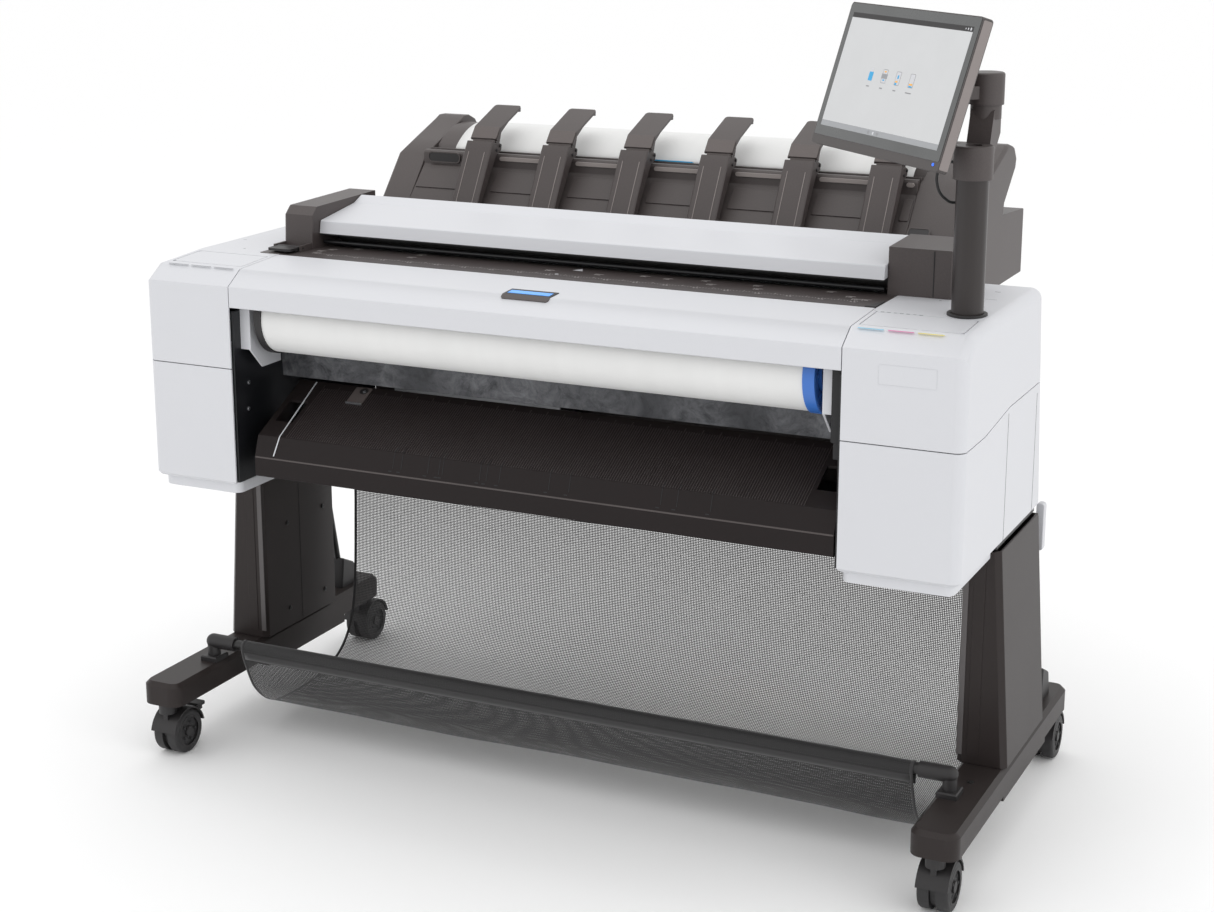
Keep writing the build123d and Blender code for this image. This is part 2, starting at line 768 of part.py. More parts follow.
def roll_spindle():
    """Spindle with its fixed hub at the left end."""
    left_end = roll_left_x - bracket_reach_left - bracket_thickness
    right_end = roll_right_x + bracket_reach_right + bracket_thickness
    bar = rod_x(roll_left_x - 20, roll_right_x + 20, roll_y, roll_z, spindle_radius)
    bar = bar + rod_x(left_end, right_end, roll_y, roll_z, journal_radius)
    bar = bar + rod_x(roll_left_x - 12, roll_left_x, roll_y, roll_z, hub_radius)
    bar = bar + rod_x(roll_left_x - 1, roll_left_x + 50, roll_y, roll_z, core_radius)
    return bar


def blue_hub():
    """Removable hub with a raised rim and a boss."""
    hub_end = roll_right_x + hub_width
    rim = 5.0
    hub = rod_x(roll_right_x, hub_end, roll_y, roll_z, hub_radius)
    hub = hub - rod_x(roll_right_x + rim, hub_end + 1, roll_y, roll_z, hub_radius - rim)
    hub = hub + rod_x(roll_right_x, hub_end, roll_y, roll_z, core_radius + 6)
    hub = hub + rod_x(roll_right_x - 50, roll_right_x + 1, roll_y, roll_z, core_radius)
    return hub - rod_x(roll_right_x - 60, roll_right_x + 30, roll_y, roll_z, spindle_radius)


# ---------------------------------------------------------------- loading platform
def drawer_skin_z(y):
    """Height of the platform's sloping face at depth y."""
    share = (y - drawer_kink_y) / (drawer_back_y - drawer_kink_y)
    return drawer_kink_z + share * (drawer_back_z - drawer_kink_z)


def drawer():
    """Loading platform: a hollow drawer with a sloping top and a hand grip at each end."""
    x0, x1 = plate_left_x + drawer_left_gap, plate_right_x - drawer_right_gap
    outer = [
        (drawer_lip_y, drawer_bottom_z),
        (drawer_lip_y, drawer_lip_z),
        (drawer_kink_y, drawer_kink_z),
        (drawer_back_y, drawer_back_z),
        (drawer_back_y, drawer_bottom_z),
    ]
    inner = [
        (drawer_lip_y + wall, drawer_bottom_z + wall),
        (drawer_lip_y + wall, drawer_lip_z - 0.5),
        (drawer_kink_y + wall, drawer_kink_z - wall),
        (drawer_back_y + 1, drawer_back_z - wall * 1.1),
        (drawer_back_y + 1, drawer_bottom_z + wall),
    ]
    shell = prism_x(outer, x0, x1)
    nose = edges_near(shell, lambda m, e: e.length > 500 and m.Y < drawer_kink_y + 1)
    shell = fillet(nose, 2.0)
    shell = shell - prism_x(inner, x0 + wall, x1 - wall)
    grip_y = drawer_kink_y + grip_set_back
    grip_z = (drawer_kink_z + 4, drawer_back_z + 20)
    for grip_x in (x0 + grip_inset, x1 - grip_inset - grip_width):
        shell = shell - box(grip_x, grip_x + grip_width, grip_y, grip_y + grip_length, *grip_z)
    return shell


# ---------------------------------------------------------------- print engine
def feed_roller():
    """Paper feed roller with a journal at each end."""
    roller = rod_x(plate_left_x + 6, plate_right_x - 6, feed_y, feed_z, feed_radius)
    return roller + rod_x(left_x + clear, right_x - clear, feed_y, feed_z, feed_journal_radius)


def platen():
    """Plate under the carriage, with a stiffening flange behind."""
    front, back = feed_y + feed_radius + 3, rail_y + 15
    top = platen_z + platen_thickness
    slab = box(plate_left_x, plate_right_x, front, back, platen_z, top)
    return slab + box(plate_left_x, plate_right_x, rail_y, back, platen_z - 20, top)


def carriage_rail():
    """Box beam that the carriage rides on."""
    beam = box(plate_left_x, plate_right_x, rail_y, rail_y + rail_depth, rail_bottom_z, rail_top)
    hollow = box(
        plate_left_x - 1,
        plate_right_x + 1,
        rail_y + rail_wall,
        rail_y + rail_depth - rail_wall,
        rail_bottom_z + rail_wall,
        rail_top - rail_wall,
    )
    return beam - hollow


def print_carriage():
    """Carriage that hooks over the rail and carries the print heads."""
    x0, x1 = carriage_home_x - carriage_width / 2, carriage_home_x + carriage_width / 2
    front = rail_y - carriage_reach
    body = box(x0, x1, front, rail_y - clear, platen_z + platen_thickness + 4, rail_top + 2)
    body = chamfer(edges_near(body, lambda m, e: m.Z > rail_top + 1 and m.Y < front + 1), 12.0)
    hook = box(x0 + 10, x1 - 10, rail_y - 10, rail_y + 10, rail_top + clear, rail_top + 4)
    return body + hook


def belt_line(half):
    """Racetrack of the given half height round both pulleys."""
    x0, x1 = plate_left_x + idler_inset, plate_right_x - motor_inset
    front, back = rail_y + 8, rail_y + 16
    track = box(x0, x1, front, back, belt_z - half, belt_z + half)
    for x in (x0, x1):
        track = track + rod_y(x, front, back, belt_z, half)
    return track


def carriage_belt():
    return belt_line(belt_half_height + belt_thickness) - belt_line(belt_half_height)


def belt_motor():
    """Motor with its pulley, and the idler at the far end of the belt."""
    pieces = []
    case_y = rail_y + 17
    motor = (plate_right_x - motor_inset, 17.0, 42.0)
    idler = (plate_left_x + idler_inset, 5.0, 10.0)
    for x, radius, length in (motor, idler):
        pulley = rod_y(x, rail_y + 7, case_y, belt_z, belt_half_height)
        case = rod_y(x, case_y, case_y + length, belt_z, radius)
        shelf = box(x - 6, x + 6, case_y + 1, case_y + 9, rail_top, belt_z)
        pieces.append(pulley + case + shelf)
    return pieces


def ink_cartridge(side, index):
    """Ink cartridge in the bay under an ink door."""
    start = right_x if side > 0 else left_x - cartridge_width
    x0 = start + side * index * cartridge_width
    top_z = ridge_z - 9
    block = box(x0, x0 + cartridge_width, ridge_y + 17, deck_front_y - 24, ridge_z - 125, top_z)
    middle = x0 + cartridge_width / 2
    top = edges_near(block, lambda m, e: m.Z > top_z - 0.1 and abs(m.X - middle) < 0.1)
    return chamfer(top, 6.0)


def electronics_box():
    """Closed sheet metal box for the controller, on the base pan."""
    x0, y0, z0 = left_x + electronics_left_inset, rail_y + 15, body_bottom_z
    size = (electronics_width, electronics_depth, electronics_height)
    shell = box(x0, x0 + size[0], y0, y0 + size[1], z0, z0 + size[2])
    t = electronics_wall
    return shell - box(x0 + t, x0 + size[0] - t, y0 + t, y0 + size[1] - t, z0 + t, z0 + size[2] - t)


# ---------------------------------------------------------------- scanner
def scan_bed():
    """Dark bed plate between the side covers, with a slot for the scan glass."""
    plate = box(left_x, right_x, deck_front_y + 2, back_top_y, bed_bottom_z, deck_z)
    slot = box(*glass_area(glass_lap), bed_bottom_z - 1, deck_z + 1)
    glass_seat = box(*glass_area(0), deck_z - glass_thickness, deck_z + 1)
    return plate - slot - glass_seat


def glass_area(inset):
    """Left, right, front and back of the scan glass, moved inwards by inset."""
    left, right = lid_left_x + 14, lid_right_x - 14
    return (left + inset, right - inset, glass_front_y + inset, glass_back_y - inset)


def scan_glass():
    return box(*glass_area(0), deck_z - glass_thickness, deck_z)


def scan_sensor():
    """Image sensor bar under the glass."""
    left, right, front, back = glass_area(10)
    return box(left, right, front + 2, back - 2, bed_bottom_z - 30, bed_bottom_z)


def lid_outline(inset):
    """Side view of the scanner lid, moved inwards by inset."""
    base = deck_z + lid_lift
    return [
        (lid_front_y + inset, base - (1 if inset else 0)),
        (lid_front_y + 4 + inset, base + 21 - inset * 0.5),
        (lid_pivot_y + 7, base + 36 - inset),
        (lid_back_y - 2 - inset, base + 48 - inset * 1.2),
        (lid_back_y - inset, base + 13 - (1 if inset else 0)),
    ]


def scanner_lid():
    """Bevelled lid with ears that carry its pivots."""
    shell = prism_x(lid_outline(0), lid_left_x, lid_right_x)
    shell = fillet(edges_near(shell, lambda m, e: e.length > 500 and m.Z > deck_z + 40), 3.0)
    shell = shell - prism_x(lid_outline(wall), lid_left_x + 5, lid_right_x - 5)
    for x in (lid_left_x, lid_right_x - 5):
        tab = box(x, x + 5, lid_pivot_y - 7, lid_pivot_y + 7, lid_pivot_z - 6, lid_pivot_z + 24)
        shell = shell + tab
    shell = shell + rod_x(lid_left_x - 12, lid_left_x + 1, lid_pivot_y, lid_pivot_z, pin_radius)
    return shell + rod_x(lid_right_x - 1, lid_right_x + 12, lid_pivot_y, lid_pivot_z, pin_radius)


def lid_end_cap(side):
    """Fixed end housing beside the lid; it carries the lid's and the roller's bearings."""
    top = deck_z + cap_height
    front = lid_front_y - 22 if side < 0 else lid_front_y + 15
    if side < 0:
        x1 = lid_left_x - cap_gap
        x0 = x1 - cap_left_width
        back = back_top_y + 20
        outline = [
            (front, deck_z),
            (front + 3, top - 16),
            (front + 17, top - 3),
            (back, top),
            (back, deck_z + 8),
            (back_top_y, deck_z),
        ]
    else:
        x0 = lid_right_x + cap_gap
        x1 = x0 + cap_right_width
        back = lid_back_y - 17
        outline = [(front, deck_z), (front + 1, top), (back, top + 3), (back, deck_z)]
    cap = prism_x(outline, x0, x1)
    outer_x = x0 if side < 0 else x1
    corners = edges_near(cap, lambda m, e: abs(m.X - outer_x) < 0.1 and m.Z > deck_z + 1 and m.Y < 10)
    cap = chamfer(corners, 4.0)
    inner_x = x1 if side < 0 else x0
    for y, z, radius in (
        (lid_pivot_y, lid_pivot_z, pin_radius),
        (scan_roller_y, scan_roller_z, roller_pin_radius),
    ):
        cap = cap - rod_x(inner_x - 14, inner_x + 14, y, z, radius + running)
    if side < 0:
        for lug_x in (x0, x0 + 50):
            cap = cap + box(lug_x, lug_x + 4, lever_y - 6, front + 1, deck_z, lever_z + 5)
        cap = cap - rod_x(x0 - 1, x0 + 60, lever_y, lever_z, lever_pin_radius + running)
    return cap


def scan_roller():
    """Roller that presses the original on the glass."""
    y, z = scan_roller_y, scan_roller_z
    roller = rod_x(lid_left_x + 8, lid_right_x - 8, y, z, scan_roller_radius)
    return roller + rod_x(lid_left_x - 12, lid_right_x + 12, y, z, roller_pin_radius)


def scan_lever():
    """Small lever in front of the left end cap."""
    x0 = lid_left_x - cap_gap - cap_left_width
    left, right = x0 + 4 + clear, x0 + 50 - clear
    tip_y = lever_y - 32
    knuckle = rod_x(left, right, lever_y, lever_z, 2 * lever_pin_radius)
    pin = rod_x(left - 4, right + 4, lever_y, lever_z, lever_pin_radius)
    tab = box(left, right, tip_y, lever_y, lever_z - 1, lever_z + 3)
    tip = edges_near(tab, lambda m, e: m.Y < tip_y + 0.1 and e.length < 5)
    return knuckle + pin + fillet(tip, 5.0)


# ---------------------------------------------------------------- stacker
# the two rails and the curved deck behind them, as depth and height from the rail's top
rail_profile = [
    (158, -24),
    (158, -4),
    (162, 0),
    (172, 0),
    (174, -12),
    (180, -12),
    (182, 2),
    (196, -2),
    (202, -10),
]
deck_profile = [(212, 5), (240, 22), (270, 32), (305, 35), (340, 28), (372, 10), (396, -20)]


def stacker_outline():
    """Side view of the stacker's middle section."""
    return [
        (back_y(neck_z), neck_z),
        (back_y(deck_z), deck_z),
        (back_top_y + 62, deck_z + 4),
        *[(back_top_y + y, rail_top_z + z) for y, z in rail_profile],
        *[(back_top_y + y, rail_top_z + z) for y, z in deck_profile],
        (stacker_back_y - 20, rail_top_z - 60),
        (stacker_back_y, rail_top_z - 76),
        (stacker_back_y, neck_z),
    ]


def stacker_shell():
    """Middle of the stacker: front panel, two rails and a curved deck, hollow from below."""
    x0, x1 = stacker_left_x + ear_left_width, stacker_right_x - ear_right_width
    shell = prism_x(stacker_outline(), x0, x1)
    hollow = [
        (back_y(neck_z) + wall, neck_z - 1),
        (back_y(deck_z) + wall, deck_z - wall),
        (back_top_y + 65, deck_z),
        (back_top_y + 160, rail_top_z - 29),
        (back_top_y + 210, rail_top_z - 16),
        (back_top_y + 242, rail_top_z + 18),
        (back_top_y + 305, rail_top_z + 30),
        (back_top_y + 368, rail_top_z + 8),
        (stacker_back_y - 24, rail_top_z - 62),
        (stacker_back_y - wall, rail_top_z - 80),
        (stacker_back_y - wall, neck_z - 1),
    ]
    return shell - prism_x(hollow, x0 + wall, x1 - wall)


# an ear's wing, from the front slope over the tip to the notch below it
wing_profile = [
    (168, -8),
    (219, 11),
    (296, 39),
    (310, 45),
    (328, 45),
    (350, 36),
    (366, 16),
    (362, 2),
    (300, -50),
    (296, -68),
]


def ear_outline():
    """Side view of a stacker ear."""
    return [
        (back_y(neck_z), neck_z),
        (back_y(deck_z), deck_z),
        (back_top_y + 66, deck_z + 4),
        *[(back_top_y + y, rail_top_z + z) for y, z in wing_profile],
        (stacker_back_y, rail_top_z - 76),
        (stacker_back_y, neck_z),
    ]


def stacker_ear(side):
    """End housing of the stacker with a hand pocket, hollow from below."""
    if side < 0:
        x0, x1 = stacker_left_x, stacker_left_x + ear_left_width
    else:
        x0, x1 = stacker_right_x - ear_right_width, stacker_right_x
    ear = prism_x(ear_outline(), x0, x1)
    outer_x = x0 if side < 0 else x1

    def on_front_slope(m, e):
        depth = m.Y - back_top_y
        above_notch = m.Z > deck_z + 32 + depth * 0.2
        return abs(m.X - outer_x) < 0.1 and 66 < depth < 331 and above_notch

    ear = chamfer(edges_near(ear, on_front_slope), 5.0)
    hollow = [
        (back_y(neck_z) + wall, neck_z - 1),
        (back_y(deck_z) + wall, deck_z - wall),
        (back_top_y + 69, deck_z),
        (back_top_y + 171, rail_top_z - 17),
        (back_top_y + 222, rail_top_z + 2),
        (back_top_y + 275, rail_top_z + 22),
        (back_top_y + 276, rail_top_z - 36),
        (back_top_y + 276, rail_top_z - 70),
        (stacker_back_y - wall, rail_top_z - 80),
        (stacker_back_y - wall, neck_z - 1),
    ]
    return ear - prism_x(hollow, x0 + 6, x1 - 6)


def output_sheet():
    """A printed sheet curled over the stacker's deck."""
    path = [(back_top_y + 204, rail_top_z - 6)]
    path = path + [(back_top_y + y, rail_top_z + z + sheet_lift) for y, z in deck_profile]
    last_y, last_z = path[-1]
    path[-1] = (last_y + sheet_lift, last_z)
    x0, x1 = stacker_left_x + ear_left_width + 1, stacker_right_x - ear_right_width - 22
    return prism_x(strip(path, sheet_thickness), x0, x1)


def arm_x(index):
    return arm_first_x + index * arm_pitch


def stacker_arm(index):
    """Guide arm: a wide plate with side walls and two ears for the flap's pin."""
    x = arm_x(index)
    half = arm_width / 2
    plate = [
        (back_top_y + 48, deck_z + 4),
        (back_top_y + 58, deck_z + 4),
        (flap_pin_y - 14, flap_pin_z - 14),
        (flap_pin_y - 20, flap_pin_z + 8),
        (flap_pin_y - 26, flap_pin_z + 10),
        (flap_pin_y - 34, flap_pin_z - 2),
    ]
    arm = prism_x(plate, x - half, x + half)
    front_edge_y = back_top_y + 92
    rim = edges_near(arm, lambda m, e: e.length > 60 and m.Y < front_edge_y and abs(m.X - x) > 1)
    arm = chamfer(rim, 2.0)
    for x0 in (x - half, x + half - arm_wall):
        ear = prism_x(
            [
                (flap_pin_y - 24, flap_pin_z - 18),
                (flap_pin_y + 4, flap_pin_z - 8),
                (flap_pin_y + 6, flap_pin_z + 2),
                (flap_pin_y - 4, flap_pin_z + 6),
                (flap_pin_y - 26, flap_pin_z + 6),
            ],
            x0,
            x0 + arm_wall,
        )
        arm = arm + ear
    return arm - rod_x(x - half - 1, x + half + 1, flap_pin_y, flap_pin_z, pin_radius + running)


def stacker_flap(index):
    """Hinged tip of a guide arm."""
    x = arm_x(index)
    half = arm_width / 2 - arm_wall - flap_gap
    top = [
        (flap_pin_y - 12, flap_pin_z + 12),
        (flap_pin_y + 5, flap_pin_z + 32),
        (flap_pin_y + 83, flap_pin_z + 62),
    ]
    plate = prism_x(strip(top[::-1], 4.0), x - arm_width / 2, x + arm_width / 2)
    tip = edges_near(plate, lambda m, e: m.Y > flap_pin_y + 78 and e.length < 8 and abs(m.X - x) > 5)
    plate = fillet(tip, 6.0)
    rib_outline = [
        (flap_pin_y - 4, flap_pin_z - 3),
        (flap_pin_y + 4, flap_pin_z - 3),
        (flap_pin_y + 14, flap_pin_z + 22),
        (flap_pin_y + 60, flap_pin_z + 48),
        (flap_pin_y + 7, flap_pin_z + 30),
        (flap_pin_y - 8, flap_pin_z + 11),
    ]
    for x0 in (x - half, x + half - arm_wall):
        plate = plate + prism_x(rib_outline, x0, x0 + arm_wall)
    pin_half = arm_width / 2 - flap_gap
    pin = rod_x(x - pin_half, x + pin_half, flap_pin_y, flap_pin_z, pin_radius)
    return plate + pin


# ---------------------------------------------------------------- screen and its pole
def pole():
    """Tube with a closed foot."""
    tube = rod_z(pole_x, pole_y, pole_foot_z, pole_top_z, pole_radius)
    floor_z = pole_foot_z + 2 * pole_wall
    return tube - rod_z(pole_x, pole_y, floor_z, pole_top_z + 1, pole_radius - pole_wall)


def swivel_arm():
    """Sleeve on the pole's top with an arm that climbs back to the second pivot."""
    sleeve = rod_z(pole_x, pole_y, sleeve_top - sleeve_height, sleeve_top, sleeve_radius)
    sleeve = fillet(edges_near(sleeve, lambda m, e: m.Z > sleeve_top - 0.1 and e.length > 100), 3.0)
    outline = [
        (pole_y + sleeve_radius - 8, sleeve_top - sleeve_height + 6),
        (pole_y + sleeve_radius - 8, sleeve_top),
        (head_y - 18, head_bottom_z - 8),
        (head_y, head_bottom_z - 0.6),
        (head_y + 20, head_bottom_z - 12),
        (head_y + 20, head_bottom_z - 42),
    ]
    arm = prism_x(outline, pole_x - arm_half_width, pole_x + arm_half_width)
    disc = rod_z(pole_x, head_y, head_bottom_z - 20, head_bottom_z - clear, head_radius - 3)
    post = rod_z(pole_x, head_y, head_bottom_z - 5, head_bottom_z + 30, head_post_radius)
    body = sleeve + arm + disc + post
    sleeve_bottom = sleeve_top - sleeve_height
    body = body - rod_z(pole_x, pole_y, sleeve_bottom - 1, pole_top_z + clear, pole_radius + running)
    return body - rod_z(pole_x, pole_y, pole_top_z, sleeve_top + 1, pole_radius - 11)


def screen_plane():
    """Frame on the screen's glass: x right, y up, z towards the user."""
    turn, tilt = radians(screen_turn), radians(screen_tilt)
    normal = Vector(-sin(turn) * cos(tilt), -cos(turn) * cos(tilt), sin(tilt))
    right = Vector(cos(turn), -sin(turn), 0)
    up = normal.cross(right)
    level = Vector(-sin(turn), -cos(turn), 0)
    hinge = Vector(pole_x, head_y, head_bottom_z + head_height / 2 - 5) + level * screen_reach
    centre = hinge + normal * hinge_standoff - right * screen_offset - up * screen_rise
    return Plane(origin=centre, x_dir=right, z_dir=normal), hinge, right


def head_plane():
    """Frame at the foot of the second pivot, turned as the screen is."""
    _, _, right = screen_plane()
    return Plane(origin=(pole_x, head_y, head_bottom_z), x_dir=right, z_dir=(0, 0, 1))


def swivel_head():
    """Head on the second pivot, reaching forward to the tilt hinge's middle knuckle."""
    middle = head_height / 2 - 5
    shell = Pos(0, 0, head_height / 2) * Cylinder(head_radius, head_height)
    shell = fillet(edges_near(shell, lambda m, e: m.Z > head_height - 0.1), 4.0)
    neck = Pos(0, -screen_reach / 2, middle) * Box(knuckle_width, screen_reach, 2 * knuckle_radius)
    knuckle = Pos(0, -screen_reach, middle) * Rot(0, 90, 0) * Cylinder(knuckle_radius, knuckle_width)
    head = shell + neck + knuckle
    pin_bore = Cylinder(hinge_pin_radius + running, 2 * knuckle_width)
    head = head - Pos(0, -screen_reach, middle) * Rot(0, 90, 0) * pin_bore
    head = head - Pos(0, 0, 15) * Cylinder(head_post_radius + running, 31)
    return head_plane() * head


def screen_housing():
    """Screen body with rounded corners and a shallow back box."""
    slab = Pos(0, 0, -screen_depth / 2) * Box(screen_width, screen_height, screen_depth)
    corners = edges_near(slab, lambda m, e: abs(m.Z + screen_depth / 2) < 0.1)
    slab = fillet(corners, 6.0)
    slab = fillet(edges_near(slab, lambda m, e: m.Z < -screen_depth + 0.1), 3.0)
    back = Box(screen_back_width, screen_back_height, screen_back_depth)
    back = Pos(screen_back_shift, 0, -screen_depth - screen_back_depth / 2) * back
    rear_z = -screen_depth - screen_back_depth
    back = chamfer(edges_near(back, lambda m, e: m.Z < rear_z + 0.1), 5.0)
    return screen_plane()[0] * (slab + back)


def screen_mount():
    """Lugs on the screen's back and the pin of the tilt hinge."""
    back = -screen_depth - screen_back_depth
    half = knuckle_width / 2 + 0.4
    lug_depth = hinge_standoff + back
    mount = Pos(screen_offset, screen_rise, back - mount_plate / 2) * Box(76, 60, mount_plate)
    for side in (-1, 1):
        x = screen_offset + side * (half + lug_width / 2)
        lug = Pos(x, screen_rise, back - lug_depth / 2) * Box(lug_width, 2 * knuckle_radius, lug_depth)
        eye = Pos(x, screen_rise, -hinge_standoff) * Rot(0, 90, 0) * Cylinder(knuckle_radius, lug_width)
        mount = mount + lug + eye
    pin = Pos(screen_offset, screen_rise, -hinge_standoff) * Rot(0, 90, 0)
    mount = mount + pin * Cylinder(hinge_pin_radius, 2 * half + 14)
    return screen_plane()[0] * mount


def cable_points():
    """Loop of cable beside the pole, from the sleeve round to the arm's underside."""
    x, y, z = pole_x, pole_y, pole_top_z
    return [
        (x - sleeve_radius + 0.5, y + 1, z - 20),
        (x - 44, y + 1, z - 21),
        (x - 55, y + 5, z - 42),
        (x - 52, y + 14, z - 68),
        (x - 36, y + 27, z - 84),
        (x - 18, y + 36, z - 76),
        (x - 8, y + 39, z - 52),
        (x - 5, y + 38, z - 24),
    ]


def cable():
    points = [Vector(*p) for p in cable_points()]
    radii = []
    for a, b, c in zip(points, points[1:], points[2:]):
        turn = (b - a).get_angle(c - b)
        shorter = min((b - a).length, (c - b).length)
        radii.append(0.45 * shorter / tan(radians(turn) / 2))
    print("cable radii", [round(r, 1) for r in radii])
    line = FilletPolyline(*points, radius=radii)
    print("cable length", round(line.length, 1))
    start = Plane(origin=points[0], z_dir=points[1] - points[0])
    tube = sweep(start * Circle(cable_radius), path=line)
    section = pi * cable_radius ** 2
    print("cable volume over section times length", round(tube.volume / (line.length * section), 3))
    return tube


def main():
    os.makedirs("parts", exist_ok=True)
    save("feet", foot(-1), foot(1))
    save("stand_columns", leg(-1), leg(1), crossbar())
    save("base_pan", base_pan())
    places = {
        "front_left": (-foot_x, caster_front_y),
        "front_right": (foot_x, caster_front_y),
        "rear_left": (-foot_x, caster_back_y),
        "rear_right": (foot_x, caster_back_y),
    }
    for name, (x, y) in places.items():
        front = name.startswith("front")
        save(f"caster_housing_{name}", caster_housing(x, y, front))
        save(f"caster_wheels_{name}", caster_wheels(x, y))
        if front:
            save(f"caster_brake_{name}", brake_pedal(x, y))
    save("basket_fabric", basket_fabric())
    save("basket_fittings", basket_elbow(-1), basket_elbow(1), basket_socket(-1), basket_socket(1))
    save("basket_bars", basket_rod(), basket_upright(-1), basket_upright(1), basket_bar())
    save("side_cover_left", *side_covers(-1))
    save("side_cover_right", *side_covers(1))
    save("ink_door_left", ink_door(-1))
    save("ink_door_right", ink_door(1))
    save("ink_cartridges", *[ink_cartridge(s, i) for s in (-1, 1) for i in range(cartridge_count)])
    save("side_plates", side_plate(-1), side_plate(1))
    save("rear_cover", rear_cover())
    save("roll_cover", roll_cover())
    save("bay_back", bay_back())
    save("roll_brackets", roll_bracket(-1), roll_bracket(1))
    save("roll_paper", roll_paper())
    save("roll_spindle", roll_spindle())
    save("roll_hub", blue_hub())
    save("loading_drawer", drawer())
    save("feed_roller", feed_roller())
    save("platen", platen())
    save("carriage_rail", carriage_rail())
    save("print_carriage", print_carriage())
    save("carriage_belt", carriage_belt())
    save("belt_motor", *belt_motor())
    save("electronics_box", electronics_box())
    save("scan_bed", scan_bed())
    save("scan_glass", scan_glass())
    save("scan_sensor", scan_sensor())
    save("scan_roller", scan_roller())
    save("scan_lever", scan_lever())
    save("scanner_lid", scanner_lid())
    save("lid_end_caps", lid_end_cap(-1), lid_end_cap(1))
    save("stacker_shell", stacker_shell())
    save("stacker_ears", stacker_ear(-1), stacker_ear(1))
    save("output_sheet", output_sheet())
    save("stacker_arms", *[stacker_arm(i) for i in range(arm_count)])
    for i in range(arm_count):
        save(f"stacker_flap_{i + 1}", stacker_flap(i))
    save("screen_pole", pole())
    save("swivel_arm", swivel_arm())
    save("swivel_head", swivel_head())
    save("screen_housing", screen_housing())
    save("screen_mount", screen_mount())
    save("screen_cable", cable())


main()
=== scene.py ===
# %% [markdown]
# # A large format plotter
# The machine is a long white printer body on a dark two-leg stand. On top sits a scanner, behind it
# a stacker with six arms, in front a paper roll over a loading platform, and below it a mesh basket.
# The engineering model gives every part that moves or carries load. This script dresses that model:
# it gives each part its finish, and adds the fine pieces that only the eye needs.

import json
from math import cos, pi, radians, sin

import bmesh
import bpy
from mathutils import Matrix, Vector


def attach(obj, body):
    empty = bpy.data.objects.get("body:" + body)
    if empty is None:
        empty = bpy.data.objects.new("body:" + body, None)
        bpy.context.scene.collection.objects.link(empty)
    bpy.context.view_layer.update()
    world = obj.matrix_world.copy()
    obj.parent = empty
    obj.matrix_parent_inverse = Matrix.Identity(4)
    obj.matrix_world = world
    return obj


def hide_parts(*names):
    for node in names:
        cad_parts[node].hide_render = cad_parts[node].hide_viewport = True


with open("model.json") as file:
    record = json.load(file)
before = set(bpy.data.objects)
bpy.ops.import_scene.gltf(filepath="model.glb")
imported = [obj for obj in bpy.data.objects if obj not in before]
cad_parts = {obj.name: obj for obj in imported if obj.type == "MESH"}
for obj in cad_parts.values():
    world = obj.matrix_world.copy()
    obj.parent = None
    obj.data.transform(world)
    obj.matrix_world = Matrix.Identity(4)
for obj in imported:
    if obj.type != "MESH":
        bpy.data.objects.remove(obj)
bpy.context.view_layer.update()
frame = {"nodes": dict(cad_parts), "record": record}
nodes = frame["nodes"]

# %% [markdown]
# The viewer stands to the right of the machine and a little above it, so both the front and the
# right end show. A long lens from over three metres keeps the long body from bulging. The lens is
# shifted down slightly, as with a view camera, so the uprights stay nearly upright in the frame.

# %% Camera
LOOK_AT = Vector((-0.042, 0.0, 0.584))
DISTANCE = 3.583
AZIMUTH = radians(25.33)
ELEVATION = radians(14.19)
LENS = 63.2
LENS_SHIFT = -0.04


def make_camera():
    data = bpy.data.cameras.new("viewer")
    data.lens = LENS
    data.sensor_width = 36.0
    data.shift_y = LENS_SHIFT
    camera = bpy.data.objects.new("viewer", data)
    bpy.context.scene.collection.objects.link(camera)
    level = cos(ELEVATION)
    away = Vector((sin(AZIMUTH) * level, -cos(AZIMUTH) * level, sin(ELEVATION)))
    camera.location = LOOK_AT + away * DISTANCE
    camera.rotation_euler = (-away).to_track_quat("-Z", "Y").to_euler()
    bpy.context.scene.camera = camera
    return camera


viewer = make_camera()
print("camera", tuple(round(x, 3) for x in viewer.location))

# %% [markdown]
# Product studios stand the object on a white sweep and surround it with broad soft lamps. A strong
# lamp overhead makes the tops the brightest faces, a weaker one on each side shapes the fronts and
# the right end, and a white surround fills the shadows. Area lamps as large as doors give the soft
# edges, where a small lamp would draw a hard line.

# %% Studio light and floor
def lamp(name, place, aim, size, power):
    data = bpy.data.lights.new(name, "AREA")
    data.shape = "RECTANGLE"
    data.size, data.size_y = size
    data.energy = power
    light = bpy.data.objects.new(name, data)
    bpy.context.scene.collection.objects.link(light)
    light.location = place
    light.rotation_euler = (Vector(aim) - Vector(place)).to_track_quat("-Z", "Y").to_euler()
    return light


def make_surround():
    """A white studio all round."""
    world = bpy.data.worlds.new("studio")
    world.use_nodes = True
    air = world.node_tree.nodes["Background"]
    air.inputs["Color"].default_value = (1.0, 1.0, 1.0, 1)
    air.inputs["Strength"].default_value = 1.0
    bpy.context.scene.world = world
    bpy.context.scene.view_settings.view_transform = "Standard"


def make_floor(half=30.0):
    mesh = bpy.data.meshes.new("floor")
    corners = [(-half, -half, 0), (half, -half, 0), (half, half, 0), (-half, half, 0)]
    mesh.from_pydata(corners, [], [(0, 1, 2, 3)])
    floor = bpy.data.objects.new("floor", mesh)
    bpy.context.scene.collection.objects.link(floor)
    paint = bpy.data.materials.new("floor_paint")
    paint.use_nodes = True
    shader = paint.node_tree.nodes["Principled BSDF"]
    shader.inputs["Base Color"].default_value = (1.0, 1.0, 1.0, 1)
    shader.inputs["Roughness"].default_value = 0.9
    shader.inputs["Specular IOR Level"].default_value = 0.1
    mesh.materials.append(paint)


